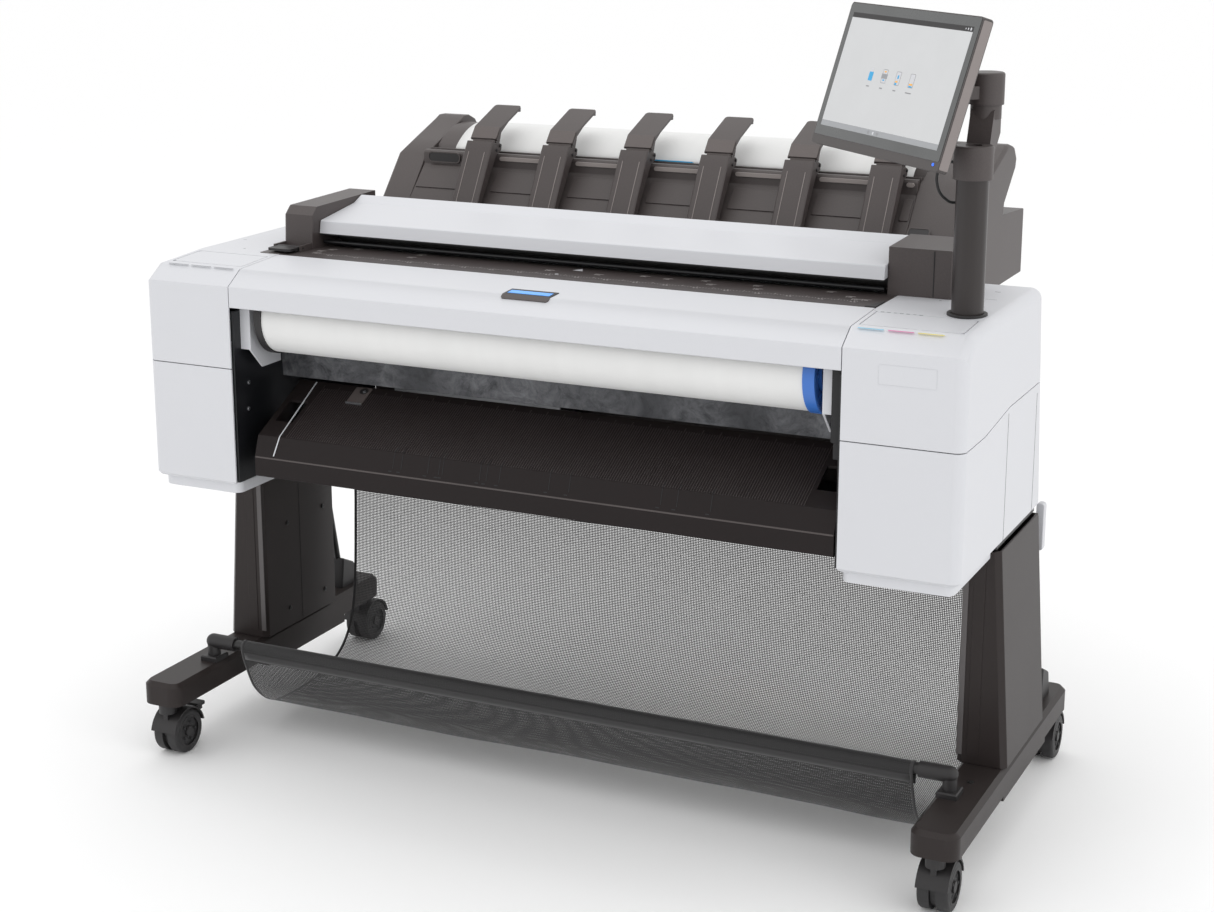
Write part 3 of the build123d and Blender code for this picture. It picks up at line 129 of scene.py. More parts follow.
make_surround()
make_floor()
lamp("overhead", (-0.3, -0.3, 3.4), (0, 0, 0.6), (3.6, 2.4), 16)
lamp("right_side", (3.8, -0.8, 1.8), (0.5, 0, 0.6), (2.4, 2.2), 12)
lamp("front_left", (-3.0, -3.4, 1.6), (-0.2, 0, 0.5), (2.4, 2.0), 5)

# %% [markdown]
# Colours are easier to name as they look on a screen than as the light they send back. This helper
# turns a screen tone of three bytes into the linear light that a shader wants.

# %% Colour helper
def tone(red, green, blue):
    """A screen colour of 0 to 255 as linear light."""
    linear = []
    for value in (red, green, blue):
        c = value / 255
        linear.append(c / 12.92 if c <= 0.04045 else ((c + 0.055) / 1.055) ** 2.4)
    return tuple(linear)


print("cover white", tone(209, 210, 214))

# %% [markdown]
# Moulded plastic is never quite flat: the mould is etched, so the skin has a fine grain, and light
# gathers unevenly over a large panel. One node group makes both from two noises, and every plastic
# and paint below uses it with its own grain size. Noise on object coordinates needs no unwrapping
# and sticks to a part when the part moves.

# %% Moulded grain
def new_group(name, inputs, outputs):
    """An empty shader group with named sockets, and its two end nodes."""
    group = bpy.data.node_groups.new(name, "ShaderNodeTree")
    for label, kind, value in inputs:
        socket = group.interface.new_socket(label, in_out="INPUT", socket_type=kind)
        socket.default_value = value
    for label, kind in outputs:
        group.interface.new_socket(label, in_out="OUTPUT", socket_type=kind)
    return group, group.nodes.new("NodeGroupInput"), group.nodes.new("NodeGroupOutput")


def wire(tree, *pairs):
    for start, end in pairs:
        tree.links.new(start, end)


def maths(tree, operation, *values):
    """A math node whose inputs are sockets or plain numbers."""
    node = tree.nodes.new("ShaderNodeMath")
    node.operation = operation
    for i, value in enumerate(values):
        if hasattr(value, "is_linked"):
            tree.links.new(value, node.inputs[i])
        else:
            node.inputs[i].default_value = value
    return node.outputs[0]


def noise(tree, coordinates, scale, detail=3.0, roughness=0.55):
    node = tree.nodes.new("ShaderNodeTexNoise")
    tree.links.new(coordinates, node.inputs["Vector"])
    if hasattr(scale, "is_linked"):
        tree.links.new(scale, node.inputs["Scale"])
    else:
        node.inputs["Scale"].default_value = scale
    node.inputs["Detail"].default_value = detail
    node.inputs["Roughness"].default_value = roughness
    return node.outputs["Fac"]


def make_moulded_grain():
    inputs = [("Grain", "NodeSocketFloat", 900.0), ("Cloud", "NodeSocketFloat", 5.0)]
    outputs = [("Height", "NodeSocketFloat"), ("Shade", "NodeSocketFloat")]
    group, start, end = new_group("moulded_grain", inputs, outputs)
    place = group.nodes.new("ShaderNodeTexCoord").outputs["Object"]
    fine = noise(group, place, start.outputs["Grain"], detail=2.0)
    broad = noise(group, place, start.outputs["Cloud"], detail=4.0)
    mixed = maths(group, "ADD", maths(group, "MULTIPLY", fine, 0.6), maths(group, "MULTIPLY", broad, 0.4))
    wire(group, (fine, end.inputs["Height"]), (mixed, end.inputs["Shade"]))
    return group


moulded_grain = make_moulded_grain()
print("group", moulded_grain.name, [s.name for s in moulded_grain.interface.items_tree])

# %% [markdown]
# A machine in an office gathers a little dust where a face looks up, and none below. The group
# reads how far a surface's normal points up, breaks it with noise and gives a mask. A mask leaves
# each finish free to choose what dust does to it, where a dust shader would not.

# %% Settled dust
def make_settled_dust():
    inputs = [("Amount", "NodeSocketFloat", 0.1)]
    outputs = [("Mask", "NodeSocketFloat")]
    group, start, end = new_group("settled_dust", inputs, outputs)
    normal = group.nodes.new("ShaderNodeNewGeometry").outputs["Normal"]
    split = group.nodes.new("ShaderNodeSeparateXYZ")
    wire(group, (normal, split.inputs[0]))
    place = group.nodes.new("ShaderNodeTexCoord").outputs["Object"]
    upward = maths(group, "POWER", maths(group, "MAXIMUM", split.outputs["Z"], 0.0), 3.0)
    broken = maths(group, "MULTIPLY", noise(group, place, 14.0, detail=5.0), upward)
    wire(group, (maths(group, "MULTIPLY", broken, start.outputs["Amount"]), end.inputs["Mask"]))
    return group


settled_dust = make_settled_dust()
print("group", settled_dust.name)

# %% [markdown]
# Nearly every casing on the machine is a moulded or a powder coated part, and they differ only in
# colour, gloss and grain. One function builds such a finish: the grain shades the colour a little,
# dust lightens it, and the same grain drives a shallow bump. Values that are the same all over the
# part are set on the shader's own sockets.

# %% Moulded and coated finishes
def blank(name, colour, roughness, **plain):
    """A material with its even values on the shader itself."""
    finish = bpy.data.materials.new(name)
    finish.use_nodes = True
    shader = finish.node_tree.nodes["Principled BSDF"]
    shader.inputs["Base Color"].default_value = (*colour, 1)
    shader.inputs["Roughness"].default_value = roughness
    for socket, value in plain.items():
        shader.inputs[socket.replace("_", " ")].default_value = value
    return finish, finish.node_tree, shader


def place_group(tree, group, **values):
    node = tree.nodes.new("ShaderNodeGroup")
    node.node_tree = group
    for label, value in values.items():
        node.inputs[label].default_value = value
    return node


def mix_colour(tree, factor, low, high):
    """A colour between two, each a socket or a plain colour."""
    node = tree.nodes.new("ShaderNodeMix")
    node.data_type = "RGBA"
    ends = (node.inputs[6], node.inputs[7])
    for socket, colour in zip(ends, (low, high)):
        if hasattr(colour, "is_linked"):
            tree.links.new(colour, socket)
        else:
            socket.default_value = (*colour, 1)
    tree.links.new(factor, node.inputs[0])
    return node.outputs[2]


def bump(tree, shader, height, depth, strength=1.0):
    node = tree.nodes.new("ShaderNodeBump")
    node.inputs["Distance"].default_value = depth
    node.inputs["Strength"].default_value = strength
    wire(tree, (height, node.inputs["Height"]), (node.outputs["Normal"], shader.inputs["Normal"]))


def spread(tree, value, low, high):
    """Maps a 0.3 to 0.7 noise on low to high."""
    node = tree.nodes.new("ShaderNodeMapRange")
    tree.links.new(value, node.inputs["Value"])
    node.inputs["From Min"].default_value = 0.3
    node.inputs["From Max"].default_value = 0.7
    node.inputs["To Min"].default_value = low
    node.inputs["To Max"].default_value = high
    return node.outputs["Result"]


def coated(name, colour, roughness, grain=900.0, depth=0.00004, vary=0.06, dust=0.02, **plain):
    """A moulded plastic or a powder coat."""
    finish, tree, shader = blank(name, colour, roughness, **plain)
    skin = place_group(tree, moulded_grain, Grain=grain)
    dusty = place_group(tree, settled_dust, Amount=dust)
    shade = spread(tree, skin.outputs["Shade"], 0.0, 1.0)
    dark = tuple(c * (1 - vary) for c in colour)
    light = tuple(min(1.0, c * (1 + vary)) for c in colour)
    body_colour = mix_colour(tree, shade, dark, light)
    dusted = mix_colour(tree, dusty.outputs["Mask"], body_colour, tone(196, 192, 186))
    gloss = spread(tree, skin.outputs["Shade"], roughness * 0.92, min(1.0, roughness * 1.08))
    wire(tree, (dusted, shader.inputs["Base Color"]), (gloss, shader.inputs["Roughness"]))
    bump(tree, shader, skin.outputs["Height"], depth)
    return finish


cover_white = coated("cover_white", tone(209, 210, 214), 0.42, grain=1400, depth=0.00002, vary=0.012)
dark_plastic = coated("dark_plastic", tone(70, 63, 62), 0.46, grain=520, depth=0.00007, vary=0.16, dust=0.05)
tray_brown = coated(
    "tray_brown", tone(30, 24, 24), 0.5, grain=520, depth=0.00006, vary=0.14, Specular_IOR_Level=0.2
)
black_plastic = coated("black_plastic", tone(34, 32, 33), 0.48, grain=600, depth=0.00005, vary=0.12)
stand_metal = coated(
    "stand_metal", tone(44, 38, 37), 0.42, grain=800, depth=0.00005, vary=0.1, Specular_IOR_Level=0.25
)
black_steel = coated("black_steel", tone(22, 23, 26), 0.34, grain=900, depth=0.00003, vary=0.12)
bar_metal = coated("bar_metal", tone(26, 25, 25), 0.36, grain=900, depth=0.00004, vary=0.1)
bracket_white = coated("bracket_white", tone(204, 205, 209), 0.4, depth=0.00003, vary=0.02)
hub_blue = coated("hub_blue", tone(60, 114, 196), 0.3, grain=1200, depth=0.00002, vary=0.05, dust=0.01)
ink_plastic = coated("ink_plastic", tone(60, 60, 64), 0.4, grain=900, depth=0.00003, vary=0.08)
screen_black = coated("screen_black", tone(66, 61, 60), 0.4, grain=1400, depth=0.00002, vary=0.05)
print("coated finishes", len([m for m in bpy.data.materials if m.node_tree]))

# %% [markdown]
# Rubber is matt, dark and slightly grey where it has been handled. Casters carry floor dust on
# their treads. The same builder does it with a high roughness and more dust.

# %% Rubber
wheel_black = coated("wheel_black", tone(38, 37, 38), 0.55, grain=700, depth=0.00006, vary=0.15, dust=0.12)
roller_rubber = coated("roller_rubber", tone(40, 38, 38), 0.6, grain=900, depth=0.00005, vary=0.1)
cable_black = coated("cable_black", tone(24, 24, 25), 0.45, grain=1500, depth=0.00003, vary=0.08)
print("rubber", wheel_black.name, roller_rubber.name, cable_black.name)

# %% [markdown]
# Coated paper is almost white with a soft sheen. On the roll, faint bands run round it where the
# web was wound tighter, and the ends show hundreds of edges. A wave along the roll's own axis
# would be too regular, so a stretched noise makes the bands.

# %% Paper
def make_paper():
    finish, tree, shader = blank("paper", tone(226, 226, 224), 0.52, Specular_IOR_Level=0.35)
    place = tree.nodes.new("ShaderNodeTexCoord").outputs["Object"]
    stretch = tree.nodes.new("ShaderNodeMapping")
    stretch.inputs["Scale"].default_value = (9.0, 0.6, 0.6)
    wire(tree, (place, stretch.inputs["Vector"]))
    bands = noise(tree, stretch.outputs["Vector"], 3.0, detail=2.0)
    fibre = noise(tree, place, 1800.0, detail=2.0)
    colour = mix_colour(tree, spread(tree, bands, 0.0, 1.0), tone(225, 225, 224), tone(228, 228, 227))
    wire(tree, (colour, shader.inputs["Base Color"]))
    bump(tree, shader, fibre, 0.00001)
    return finish


paper = make_paper()
print("paper", paper.name)

# %% [markdown]
# The plate behind the roll is hot-dip zinc that has been darkened. Its crystals give a clouded,
# rock-like mottle, crossed by soft upright bands where the coil was handled. Two noises warp each
# other for the mottle, and a slow noise along X alone gives the bands.

# %% Mottled zinc
def make_bay_steel():
    finish, tree, shader = blank("bay_steel", tone(60, 61, 66), 0.42, Metallic=0.35)
    place = tree.nodes.new("ShaderNodeTexCoord").outputs["Object"]
    warp = tree.nodes.new("ShaderNodeTexNoise")
    warp.inputs["Scale"].default_value = 16.0
    warp.inputs["Detail"].default_value = 5.0
    wire(tree, (place, warp.inputs["Vector"]))
    moved = tree.nodes.new("ShaderNodeVectorMath")
    moved.operation = "MULTIPLY_ADD"
    moved.inputs[1].default_value = (0.09, 0.09, 0.09)
    wire(tree, (warp.outputs["Color"], moved.inputs[0]), (place, moved.inputs[2]))
    crystal = noise(tree, moved.outputs["Vector"], 42.0, detail=8.0, roughness=0.68)
    along = tree.nodes.new("ShaderNodeMapping")
    along.inputs["Scale"].default_value = (5.2, 0.3, 0.3)
    wire(tree, (place, along.inputs["Vector"]))
    bands = noise(tree, along.outputs["Vector"], 2.0, detail=1.0)
    mottled = mix_colour(tree, spread(tree, crystal, 0.0, 1.0), tone(44, 45, 49), tone(138, 139, 143))
    shade = maths(tree, "MULTIPLY", spread(tree, bands, 0.0, 1.0), 0.72)
    colour = mix_colour(tree, shade, mottled, tone(40, 41, 45))
    wire(tree, (colour, shader.inputs["Base Color"]))
    wire(tree, (spread(tree, crystal, 0.34, 0.56), shader.inputs["Roughness"]))
    bump(tree, shader, crystal, 0.0006)
    return finish


bay_steel = make_bay_steel()
print("bay steel", bay_steel.name)

# %% [markdown]
# Zinc plated parts such as the rail, the motor's case and the screws are bright and finely
# brushed. A noise squeezed across one axis reads as brushing, and it only needs to touch the
# roughness and a very shallow bump.

# %% Plated steel and glass
def make_bare_steel():
    finish, tree, shader = blank("bare_steel", tone(176, 177, 180), 0.32, Metallic=1.0)
    place = tree.nodes.new("ShaderNodeTexCoord").outputs["Object"]
    squeeze = tree.nodes.new("ShaderNodeMapping")
    squeeze.inputs["Scale"].default_value = (12.0, 900.0, 900.0)
    wire(tree, (place, squeeze.inputs["Vector"]))
    brushed = noise(tree, squeeze.outputs["Vector"], 1.0, detail=3.0)
    wire(tree, (spread(tree, brushed, 0.24, 0.42), shader.inputs["Roughness"]))
    colour = mix_colour(tree, spread(tree, brushed, 0.0, 1.0), tone(164, 165, 169), tone(190, 191, 194))
    wire(tree, (colour, shader.inputs["Base Color"]))
    bump(tree, shader, brushed, 0.00001)
    return finish


def make_scan_glass():
    finish, tree, shader = blank("scan_glass", tone(210, 222, 222), 0.04, IOR=1.5, Transmission_Weight=0.9)
    smear = noise(tree, tree.nodes.new("ShaderNodeTexCoord").outputs["Object"], 30.0, detail=5.0)
    wire(tree, (spread(tree, smear, 0.02, 0.08), shader.inputs["Roughness"]))
    return finish


bare_steel = make_bare_steel()
scan_glass = make_scan_glass()
print("steel and glass", bare_steel.name, scan_glass.name)

# %% [markdown]
# Each engineering part takes the finish of its slot in the record, so that a part and its finish
# never disagree. Casings also get a small round on their edges. A real mould cannot make a knife
# edge, and the thin highlight along a rounded edge is what makes plastic look moulded. The round is
# a modifier, which leaves the part's own mesh alone.

# %% Dress the engineering parts
FINISHES = dict(
    cover_white=cover_white, dark_plastic=dark_plastic, tray_brown=tray_brown,
    black_plastic=black_plastic, stand_metal=stand_metal, black_steel=black_steel,
    bar_metal=bar_metal, bracket_white=bracket_white, hub_blue=hub_blue, ink_plastic=ink_plastic,
    screen_black=screen_black, wheel_black=wheel_black, roller_rubber=roller_rubber,
    cable_black=cable_black, paper=paper, bay_steel=bay_steel, bare_steel=bare_steel,
    scan_glass=scan_glass,
)
SLOT_OF = {part["node"]: part["material_slot"] for part in frame["record"]["subparts"]}


WELD_DISTANCE = 0.00001
SHARP_ANGLE = radians(32)


def soften(piece, width):
    """Rounds a piece's edges and evens its shading."""
    weld = piece.modifiers.new("weld", "WELD")
    weld.merge_threshold = WELD_DISTANCE
    edge = piece.modifiers.new("edge", "BEVEL")
    edge.width = width
    edge.segments = 2
    edge.limit_method = "ANGLE"
    edge.angle_limit = SHARP_ANGLE
    edge.use_clamp_overlap = True
    shading = piece.modifiers.new("shading", "WEIGHTED_NORMAL")
    shading.weight = 60


ROUNDS = {
    0.0008: ["ink_door_left", "ink_door_right", "roll_brackets"],
    0.0009: ["stacker_arms"],
    0.0012: ["side_cover_left", "side_cover_right", "loading_drawer", "stand_columns"],
    0.0014: ["roll_cover", "scanner_lid", "stacker_shell"],
    0.0016: ["lid_end_caps", "stacker_ears"],
}
ROUNDED = {name: width for width, names in ROUNDS.items() for name in names}
ROUNDED.update({f"stacker_flap_{i + 1}": 0.0008 for i in range(6)})
for name, part in nodes.items():
    part.data.materials.clear()
    part.data.materials.append(FINISHES.get(SLOT_OF[name], black_plastic))
    if name in ROUNDED:
        soften(part, ROUNDED[name])
print("dressed", len(nodes), "rounded", len(ROUNDED))

# %% [markdown]
# The finer pieces below are built point by point in millimetres, the unit on a maker's drawing, and
# shrunk to metres at the end. A handful of small builders covers them: a prism pushes an outline
# along a vector, a block and a rod are prisms too, and a plate lays an outline on any slanted face.
# All of them are closed, so each piece could be printed or measured by itself.

# %% Piece builders
MM = 0.001


def prism(shape, outline, push):
    """An outline of points carried along one vector, closed at both ends."""
    near = [shape.verts.new(p) for p in outline]
    far = [shape.verts.new(Vector(p) + Vector(push)) for p in outline]
    shape.faces.new(near)
    shape.faces.new(far[::-1])
    for i in range(len(outline)):
        j = (i + 1) % len(outline)
        shape.faces.new((near[i], far[i], far[j], near[j]))


def block(shape, low, high):
    (x0, y0, z0), (x1, y1, z1) = low, high
    prism(shape, [(x0, y0, z0), (x1, y0, z0), (x1, y1, z0), (x0, y1, z0)], (0, 0, z1 - z0))


def rod(shape, start, end, radius, sides=24):
    start, end = Vector(start), Vector(end)
    side = (end - start).orthogonal().normalized()
    other = (end - start).normalized().cross(side)
    turns = [2 * pi * i / sides for i in range(sides)]
    prism(shape, [start + radius * (side * cos(a) + other * sin(a)) for a in turns], end - start)


def rounded(width, height, radius, steps=5):
    """A rectangle with round corners, about its own middle."""
    points = []
    for cx, cy, turn in ((1, 1, 0), (-1, 1, 1), (-1, -1, 2), (1, -1, 3)):
        for i in range(steps + 1):
            a = (turn + i / steps) * pi / 2
            across = cx * (width / 2 - radius) + radius * cos(a)
            points.append((across, cy * (height / 2 - radius) + radius * sin(a)))
    return points


def plate(shape, middle, right, up, outline, low, high):
    """An outline laid on a face: low is its depth under the face, high its height over it."""
    right, up = Vector(right).normalized(), Vector(up).normalized()
    out = right.cross(up)
    at = Vector(middle)
    prism(shape, [at + right * u + up * v + out * low for u, v in outline], out * (high - low))


def rim(shape, middle, right, up, outer, inner, low, high):
    """A plate with a hole: both outlines have the same number of points."""
    right, up = Vector(right).normalized(), Vector(up).normalized()
    out = right.cross(up)
    at = Vector(middle)
    rings = []
    for outline, depth in ((outer, low), (outer, high), (inner, high), (inner, low)):
        rings.append([shape.verts.new(at + right * u + up * v + out * depth) for u, v in outline])
    for k in range(4):
        a, b = rings[k], rings[(k + 1) % 4]
        for i in range(len(outer)):
            j = (i + 1) % len(outer)
            shape.faces.new((a[i], a[j], b[j], b[i]))


def finish_piece(name, shape, finish, body, rounding=0.0):
    """Turns a filled shape into a piece with a finish and a body to ride on."""
    bmesh.ops.recalc_face_normals(shape, faces=shape.faces)
    bmesh.ops.scale(shape, vec=(MM, MM, MM), verts=shape.verts)
    mesh = bpy.data.meshes.new(name)
    shape.to_mesh(mesh)
    shape.free()
    mesh.materials.append(finish)
    piece = bpy.data.objects.new(name, mesh)
    bpy.context.scene.collection.objects.link(piece)
    if rounding:
        soften(piece, rounding * MM)
    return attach(piece, body)


ALONG_X, ALONG_Y, ALONG_Z = (1, 0, 0), (0, 1, 0), (0, 0, 1)
COVER_SIDE_X = 684      # outer face of a side cover
COVER_LOW_Z = 494       # where a side cover's flat side begins
TOP_Z = 848             # scan bed and the side covers' tops
LEG_INNER_X = 629       # inner face of a leg
LEG_MIDDLE_X = 655
LEG_OUTER_X = 684
LEG_FRONT_Y = -171      # front face of a leg
FOOT_MIDDLE_X, FOOT_TOP_Z = 671.5, 136
ROLL_Y, ROLL_Z = -315, 764
print("builders ready")

# %% [markdown]
# Marks on the machine are pad printed: a film of ink a tenth of a millimetre thick. A bump cannot
# show that, so each mark is a very thin plate sunk into its part. The inks are slightly uneven, as
# printed ink is, and the lit ones give off a little of their own light.

# %% Inks and lit parts
def lit(name, colour, roughness, power, uneven=0.06):
    """A lamp or a display: its own light, a little uneven."""
    finish, tree, shader = blank(name, colour, roughness, Emission_Strength=power)
    glow = noise(tree, tree.nodes.new("ShaderNodeTexCoord").outputs["Object"], 22.0, detail=2.0)
    low, high = tuple(c * (1 - uneven) for c in colour), tuple(min(1.0, c * (1 + uneven / 2)) for c in colour)
    even = mix_colour(tree, spread(tree, glow, 0.0, 1.0), low, high)
    wire(tree, (even, shader.inputs["Base Color"]), (even, shader.inputs["Emission Color"]))
    return finish


def ink(name, colour):
    return coated(name, colour, 0.5, grain=2400, depth=0.000005, vary=0.06, dust=0.01)


grey_ink = ink("grey_ink", tone(150, 152, 156))
pale_ink = ink("pale_ink", tone(176, 172, 170))
caption_ink = ink("caption_ink", tone(138, 138, 140))
amber_ink = ink("amber_ink", tone(244, 178, 74))
sky_ink = ink("sky_ink", tone(58, 166, 218))
cyan_ink = ink("cyan_ink", tone(120, 198, 226))
magenta_ink = ink("magenta_ink", tone(222, 104, 168))
yellow_ink = ink("yellow_ink", tone(238, 222, 100))
status_blue = lit("status_blue", tone(84, 156, 236), 0.3, 0.35)
lamp_blue = lit("lamp_blue", tone(40, 100, 255), 0.3, 1.2)
display_white = lit("display_white", tone(188, 189, 190), 0.25, 0.2, 0.015)
display_bar = lit("display_bar", tone(150, 152, 155), 0.25, 0.1, 0.015)
seam_black = coated("seam_black", tone(30, 30, 32), 0.7, grain=700, depth=0.00002, vary=0.1)
print("inks and lamps", len(bpy.data.materials))

# %% [markdown]
# The bezel of the operator screen is one sheet of dark glass over the whole front. Glass over a
# dark print is glossy and takes a broad reflection. A coat over a dark base gives that, and a slow
# noise keeps the reflection from being perfect, as finger marks do.

# %% Dark glass
def make_bezel_glass():
    finish, tree, shader = blank("bezel_glass", tone(58, 60, 60), 0.22, Coat_Weight=0.6, Coat_Roughness=0.06)
    place = tree.nodes.new("ShaderNodeTexCoord").outputs["Object"]
    smear = noise(tree, place, 9.0, detail=5.0)
    colour = mix_colour(tree, spread(tree, smear, 0.0, 1.0), tone(52, 54, 54), tone(66, 68, 68))
    wire(tree, (colour, shader.inputs["Base Color"]))
    wire(tree, (spread(tree, smear, 0.16, 0.3), shader.inputs["Roughness"]))
    return finish


bezel_glass = make_bezel_glass()
print("glass", bezel_glass.name)

# %% [markdown]
# The basket is a see-through woven mesh. Thousands of real threads would be slow and would flicker,
# so the weave is a pattern in the finish: two sets of stripes leave holes where neither runs. They
# follow the cloth's own flat coordinates, in metres, so the threads bend with it. Threads pass over
# and under each other, which a checker of cells adds to the bump.

# %% Woven threads
def make_woven_threads():
    inputs = [("Pitch", "NodeSocketFloat", 0.0036), ("Thread", "NodeSocketFloat", 0.3)]
    outputs = [("Cover", "NodeSocketFloat"), ("Height", "NodeSocketFloat"), ("Shade", "NodeSocketFloat")]
    group, start, end = new_group("woven_threads", inputs, outputs)
    split = group.nodes.new("ShaderNodeSeparateXYZ")
    wire(group, (group.nodes.new("ShaderNodeTexCoord").outputs["UV"], split.inputs[0]))
    cells, covers, swells = [], [], []
    for axis in ("X", "Y"):
        across = maths(group, "DIVIDE", split.outputs[axis], start.outputs["Pitch"])
        cells.append(maths(group, "FLOOR", across))
        centred = maths(group, "SUBTRACT", maths(group, "FRACT", across), 0.5)
        off = maths(group, "MULTIPLY", maths(group, "ABSOLUTE", centred), 2.0)
        covers.append(maths(group, "LESS_THAN", off, start.outputs["Thread"]))
        swell = maths(group, "SUBTRACT", 1.0, maths(group, "DIVIDE", off, start.outputs["Thread"]))
        swells.append(maths(group, "MAXIMUM", swell, 0.0))
    over = maths(group, "FLOORED_MODULO", maths(group, "ADD", *cells), 2.0)
    under = maths(group, "SUBTRACT", 1.0, over)
    warp = maths(group, "MULTIPLY", swells[0], maths(group, "MULTIPLY_ADD", over, 0.5, 0.5))
    weft = maths(group, "MULTIPLY", swells[1], maths(group, "MULTIPLY_ADD", under, 0.5, 0.5))
    wire(group, (maths(group, "MAXIMUM", *covers), end.inputs["Cover"]))
    wire(group, (maths(group, "MAXIMUM", warp, weft), end.inputs["Height"]))
    place = group.nodes.new("ShaderNodeTexCoord").outputs["Object"]
    wire(group, (noise(group, place, 7.0, detail=4.0), end.inputs["Shade"]))
    return group


def ramp(tree, value, start, stop, low, high):
    """Moves from low to high as a value goes from start to stop, and holds beyond."""
    node = tree.nodes.new("ShaderNodeMapRange")
    tree.links.new(value, node.inputs["Value"])
    for label, number in (("From Min", start), ("From Max", stop), ("To Min", low), ("To Max", high)):
        node.inputs[label].default_value = number
    return node.outputs["Result"]


# Distances along the cloth from its front sleeve, in metres. The weave closes up from the first
# to the second of each pair, towards the front rod and towards the rear bar. By the rear bar the
# denser weave is painted shade near the drawer. Towards the front rod it darkens the cloth, whose
# colour also darkens there to a painted shade where it faces down.
FRONT_DARKENING = (0.34, 0.16)
REAR_SHADE_RISE = (0.50, 0.82)


def make_mesh_cloth(name, thread, pitch, dark, light, painted_front_shade):
    """Threads take this share of the pitch in the trough, and more towards both sleeves. The extra by the
    rear bar is painted shade, and the colour darkens to a painted shade towards the front sleeve.
    """
    finish, tree, shader = blank(name, dark, 0.6, Sheen_Weight=0.2)
    weave = place_group(tree, woven_threads, Pitch=pitch, Thread=thread)
    split = tree.nodes.new("ShaderNodeSeparateXYZ")
    wire(tree, (tree.nodes.new("ShaderNodeTexCoord").outputs["UV"], split.inputs[0]))
    along = split.outputs["Y"]
    front = ramp(tree, along, *FRONT_DARKENING, 0.0, 0.36)
    # painted shade: the weave thickens towards the rear bar, near the drawer
    back = ramp(tree, along, *REAR_SHADE_RISE, 0.0, 0.18)
    extra = maths(tree, "ADD", front, back)
    wire(tree, (maths(tree, "ADD", extra, thread), weave.inputs["Thread"]))
    even = mix_colour(tree, spread(tree, weave.outputs["Shade"], 0.0, 1.0), dark, light)
    # painted shade: the colour darkens towards the front sleeve, where the cloth faces down
    colour = mix_colour(tree, ramp(tree, along, *FRONT_DARKENING, 0.0, 1.0), even, painted_front_shade)
    wire(tree, (colour, shader.inputs["Base Color"]), (weave.outputs["Cover"], shader.inputs["Alpha"]))
    bump(tree, shader, weave.outputs["Height"], 0.0003)
    return finish


woven_threads = make_woven_threads()
mesh_cloth = make_mesh_cloth(
    "mesh_cloth", 0.35, 0.0030, dark=tone(56, 55, 56), light=tone(66, 65, 66), painted_front_shade=tone(26, 25, 26)
)
hem_tape = coated("hem_tape", tone(46, 45, 46), 0.75, grain=1500, depth=0.00008, vary=0.2, Sheen_Weight=0.2)
print("woven", mesh_cloth.name, hem_tape.name)

# %% [markdown]
# The catch basket is one length of that mesh. It is sewn into a sleeve round the front rod, hangs
# down into a trough, and rises behind to a sleeve round the rear bar. It could be simulated as
# cloth, but a stiff mesh under tension keeps its line, so the line is drawn: points are joined by a
# smooth curve, and the cloth gets shallow hanging waves that fade out at the sleeves.

# %% Smooth line through points
def smooth_line(points, spacing):
    """Even steps along a smooth curve through points in one plane."""
    points = [Vector(p) for p in points]
    full = [points[0] * 2 - points[1], *points, points[-1] * 2 - points[-2]]
    fine = []
    for k in range(1, len(full) - 2):
        a, b, c, d = full[k - 1 : k + 3]
        for i in range(16):
            t = i / 16
            curve = (2 * a - 5 * b + 4 * c - d) * t * t + (3 * b - a - 3 * c + d) * t**3
            fine.append(0.5 * (2 * b + (c - a) * t + curve))
    fine.append(points[-1])
    run = [0.0]
    for p, q in zip(fine, fine[1:]):
        run.append(run[-1] + (q - p).length)
    count = max(2, round(run[-1] / spacing))
    line, k = [], 0
    for i in range(count + 1):
        want = run[-1] * i / count
        while k < len(run) - 2 and run[k + 1] < want:
            k += 1
        share = (want - run[k]) / max(run[k + 1] - run[k], 1e-9)
        line.append(fine[k].lerp(fine[k + 1], share))
    return line, run[-1]


def web(name, line, length, low_x, high_x, columns, swell, finish, slot):
    """A sheet of one surface along a line of depth and height, with flat coordinates in metres."""
    shape = bmesh.new()
    flat = shape.loops.layers.uv.new("flat")
    rows = []
    for i, (y, z) in enumerate(line):
        row = []
        for j in range(columns + 1):
            x = low_x + (high_x - low_x) * j / columns
            dy, dz = swell(x, i / (len(line) - 1))
            row.append(shape.verts.new((x, y + dy, z + dz)))
        rows.append(row)
    for i in range(len(rows) - 1):
        for j in range(columns):
            face = shape.faces.new((rows[i][j], rows[i][j + 1], rows[i + 1][j + 1], rows[i + 1][j]))
            face.smooth = True
            for loop, (di, dj) in zip(face.loops, ((0, 0), (0, 1), (1, 1), (1, 0))):
                across = (high_x - low_x) * (j + dj) / columns
                along = length * (i + di) / (len(rows) - 1)
                loop[flat].uv = (across * MM, along * MM)
    return finish_piece(name, shape, finish, "chassis")


print("line of", smooth_line([(0, 0), (50, 10), (90, 60)], 5)[1])

# %% [markdown]
# The cloth's waves are sums of a few sine curves of the width: broad ones in the trough, finer ones
# near the front sleeve, where the mesh is gathered a little. Sines are chosen over random noise
# because the same wave then runs down the whole length, as it does in hung cloth.

# %% Catch basket
FRONT_ROD = Vector((-292, 169))
REAR_BAR = Vector((81, 425))
BASKET_LOW_X, BASKET_HIGH_X = -592, 601


def round_bar(centre, radius, first, last, steps):
    """Points round a bar, by angle in degrees."""
    angles = [radians(first + (last - first) * i / steps) for i in range(steps + 1)]
    return [(centre.x + radius * cos(a), centre.y + radius * sin(a)) for a in angles]


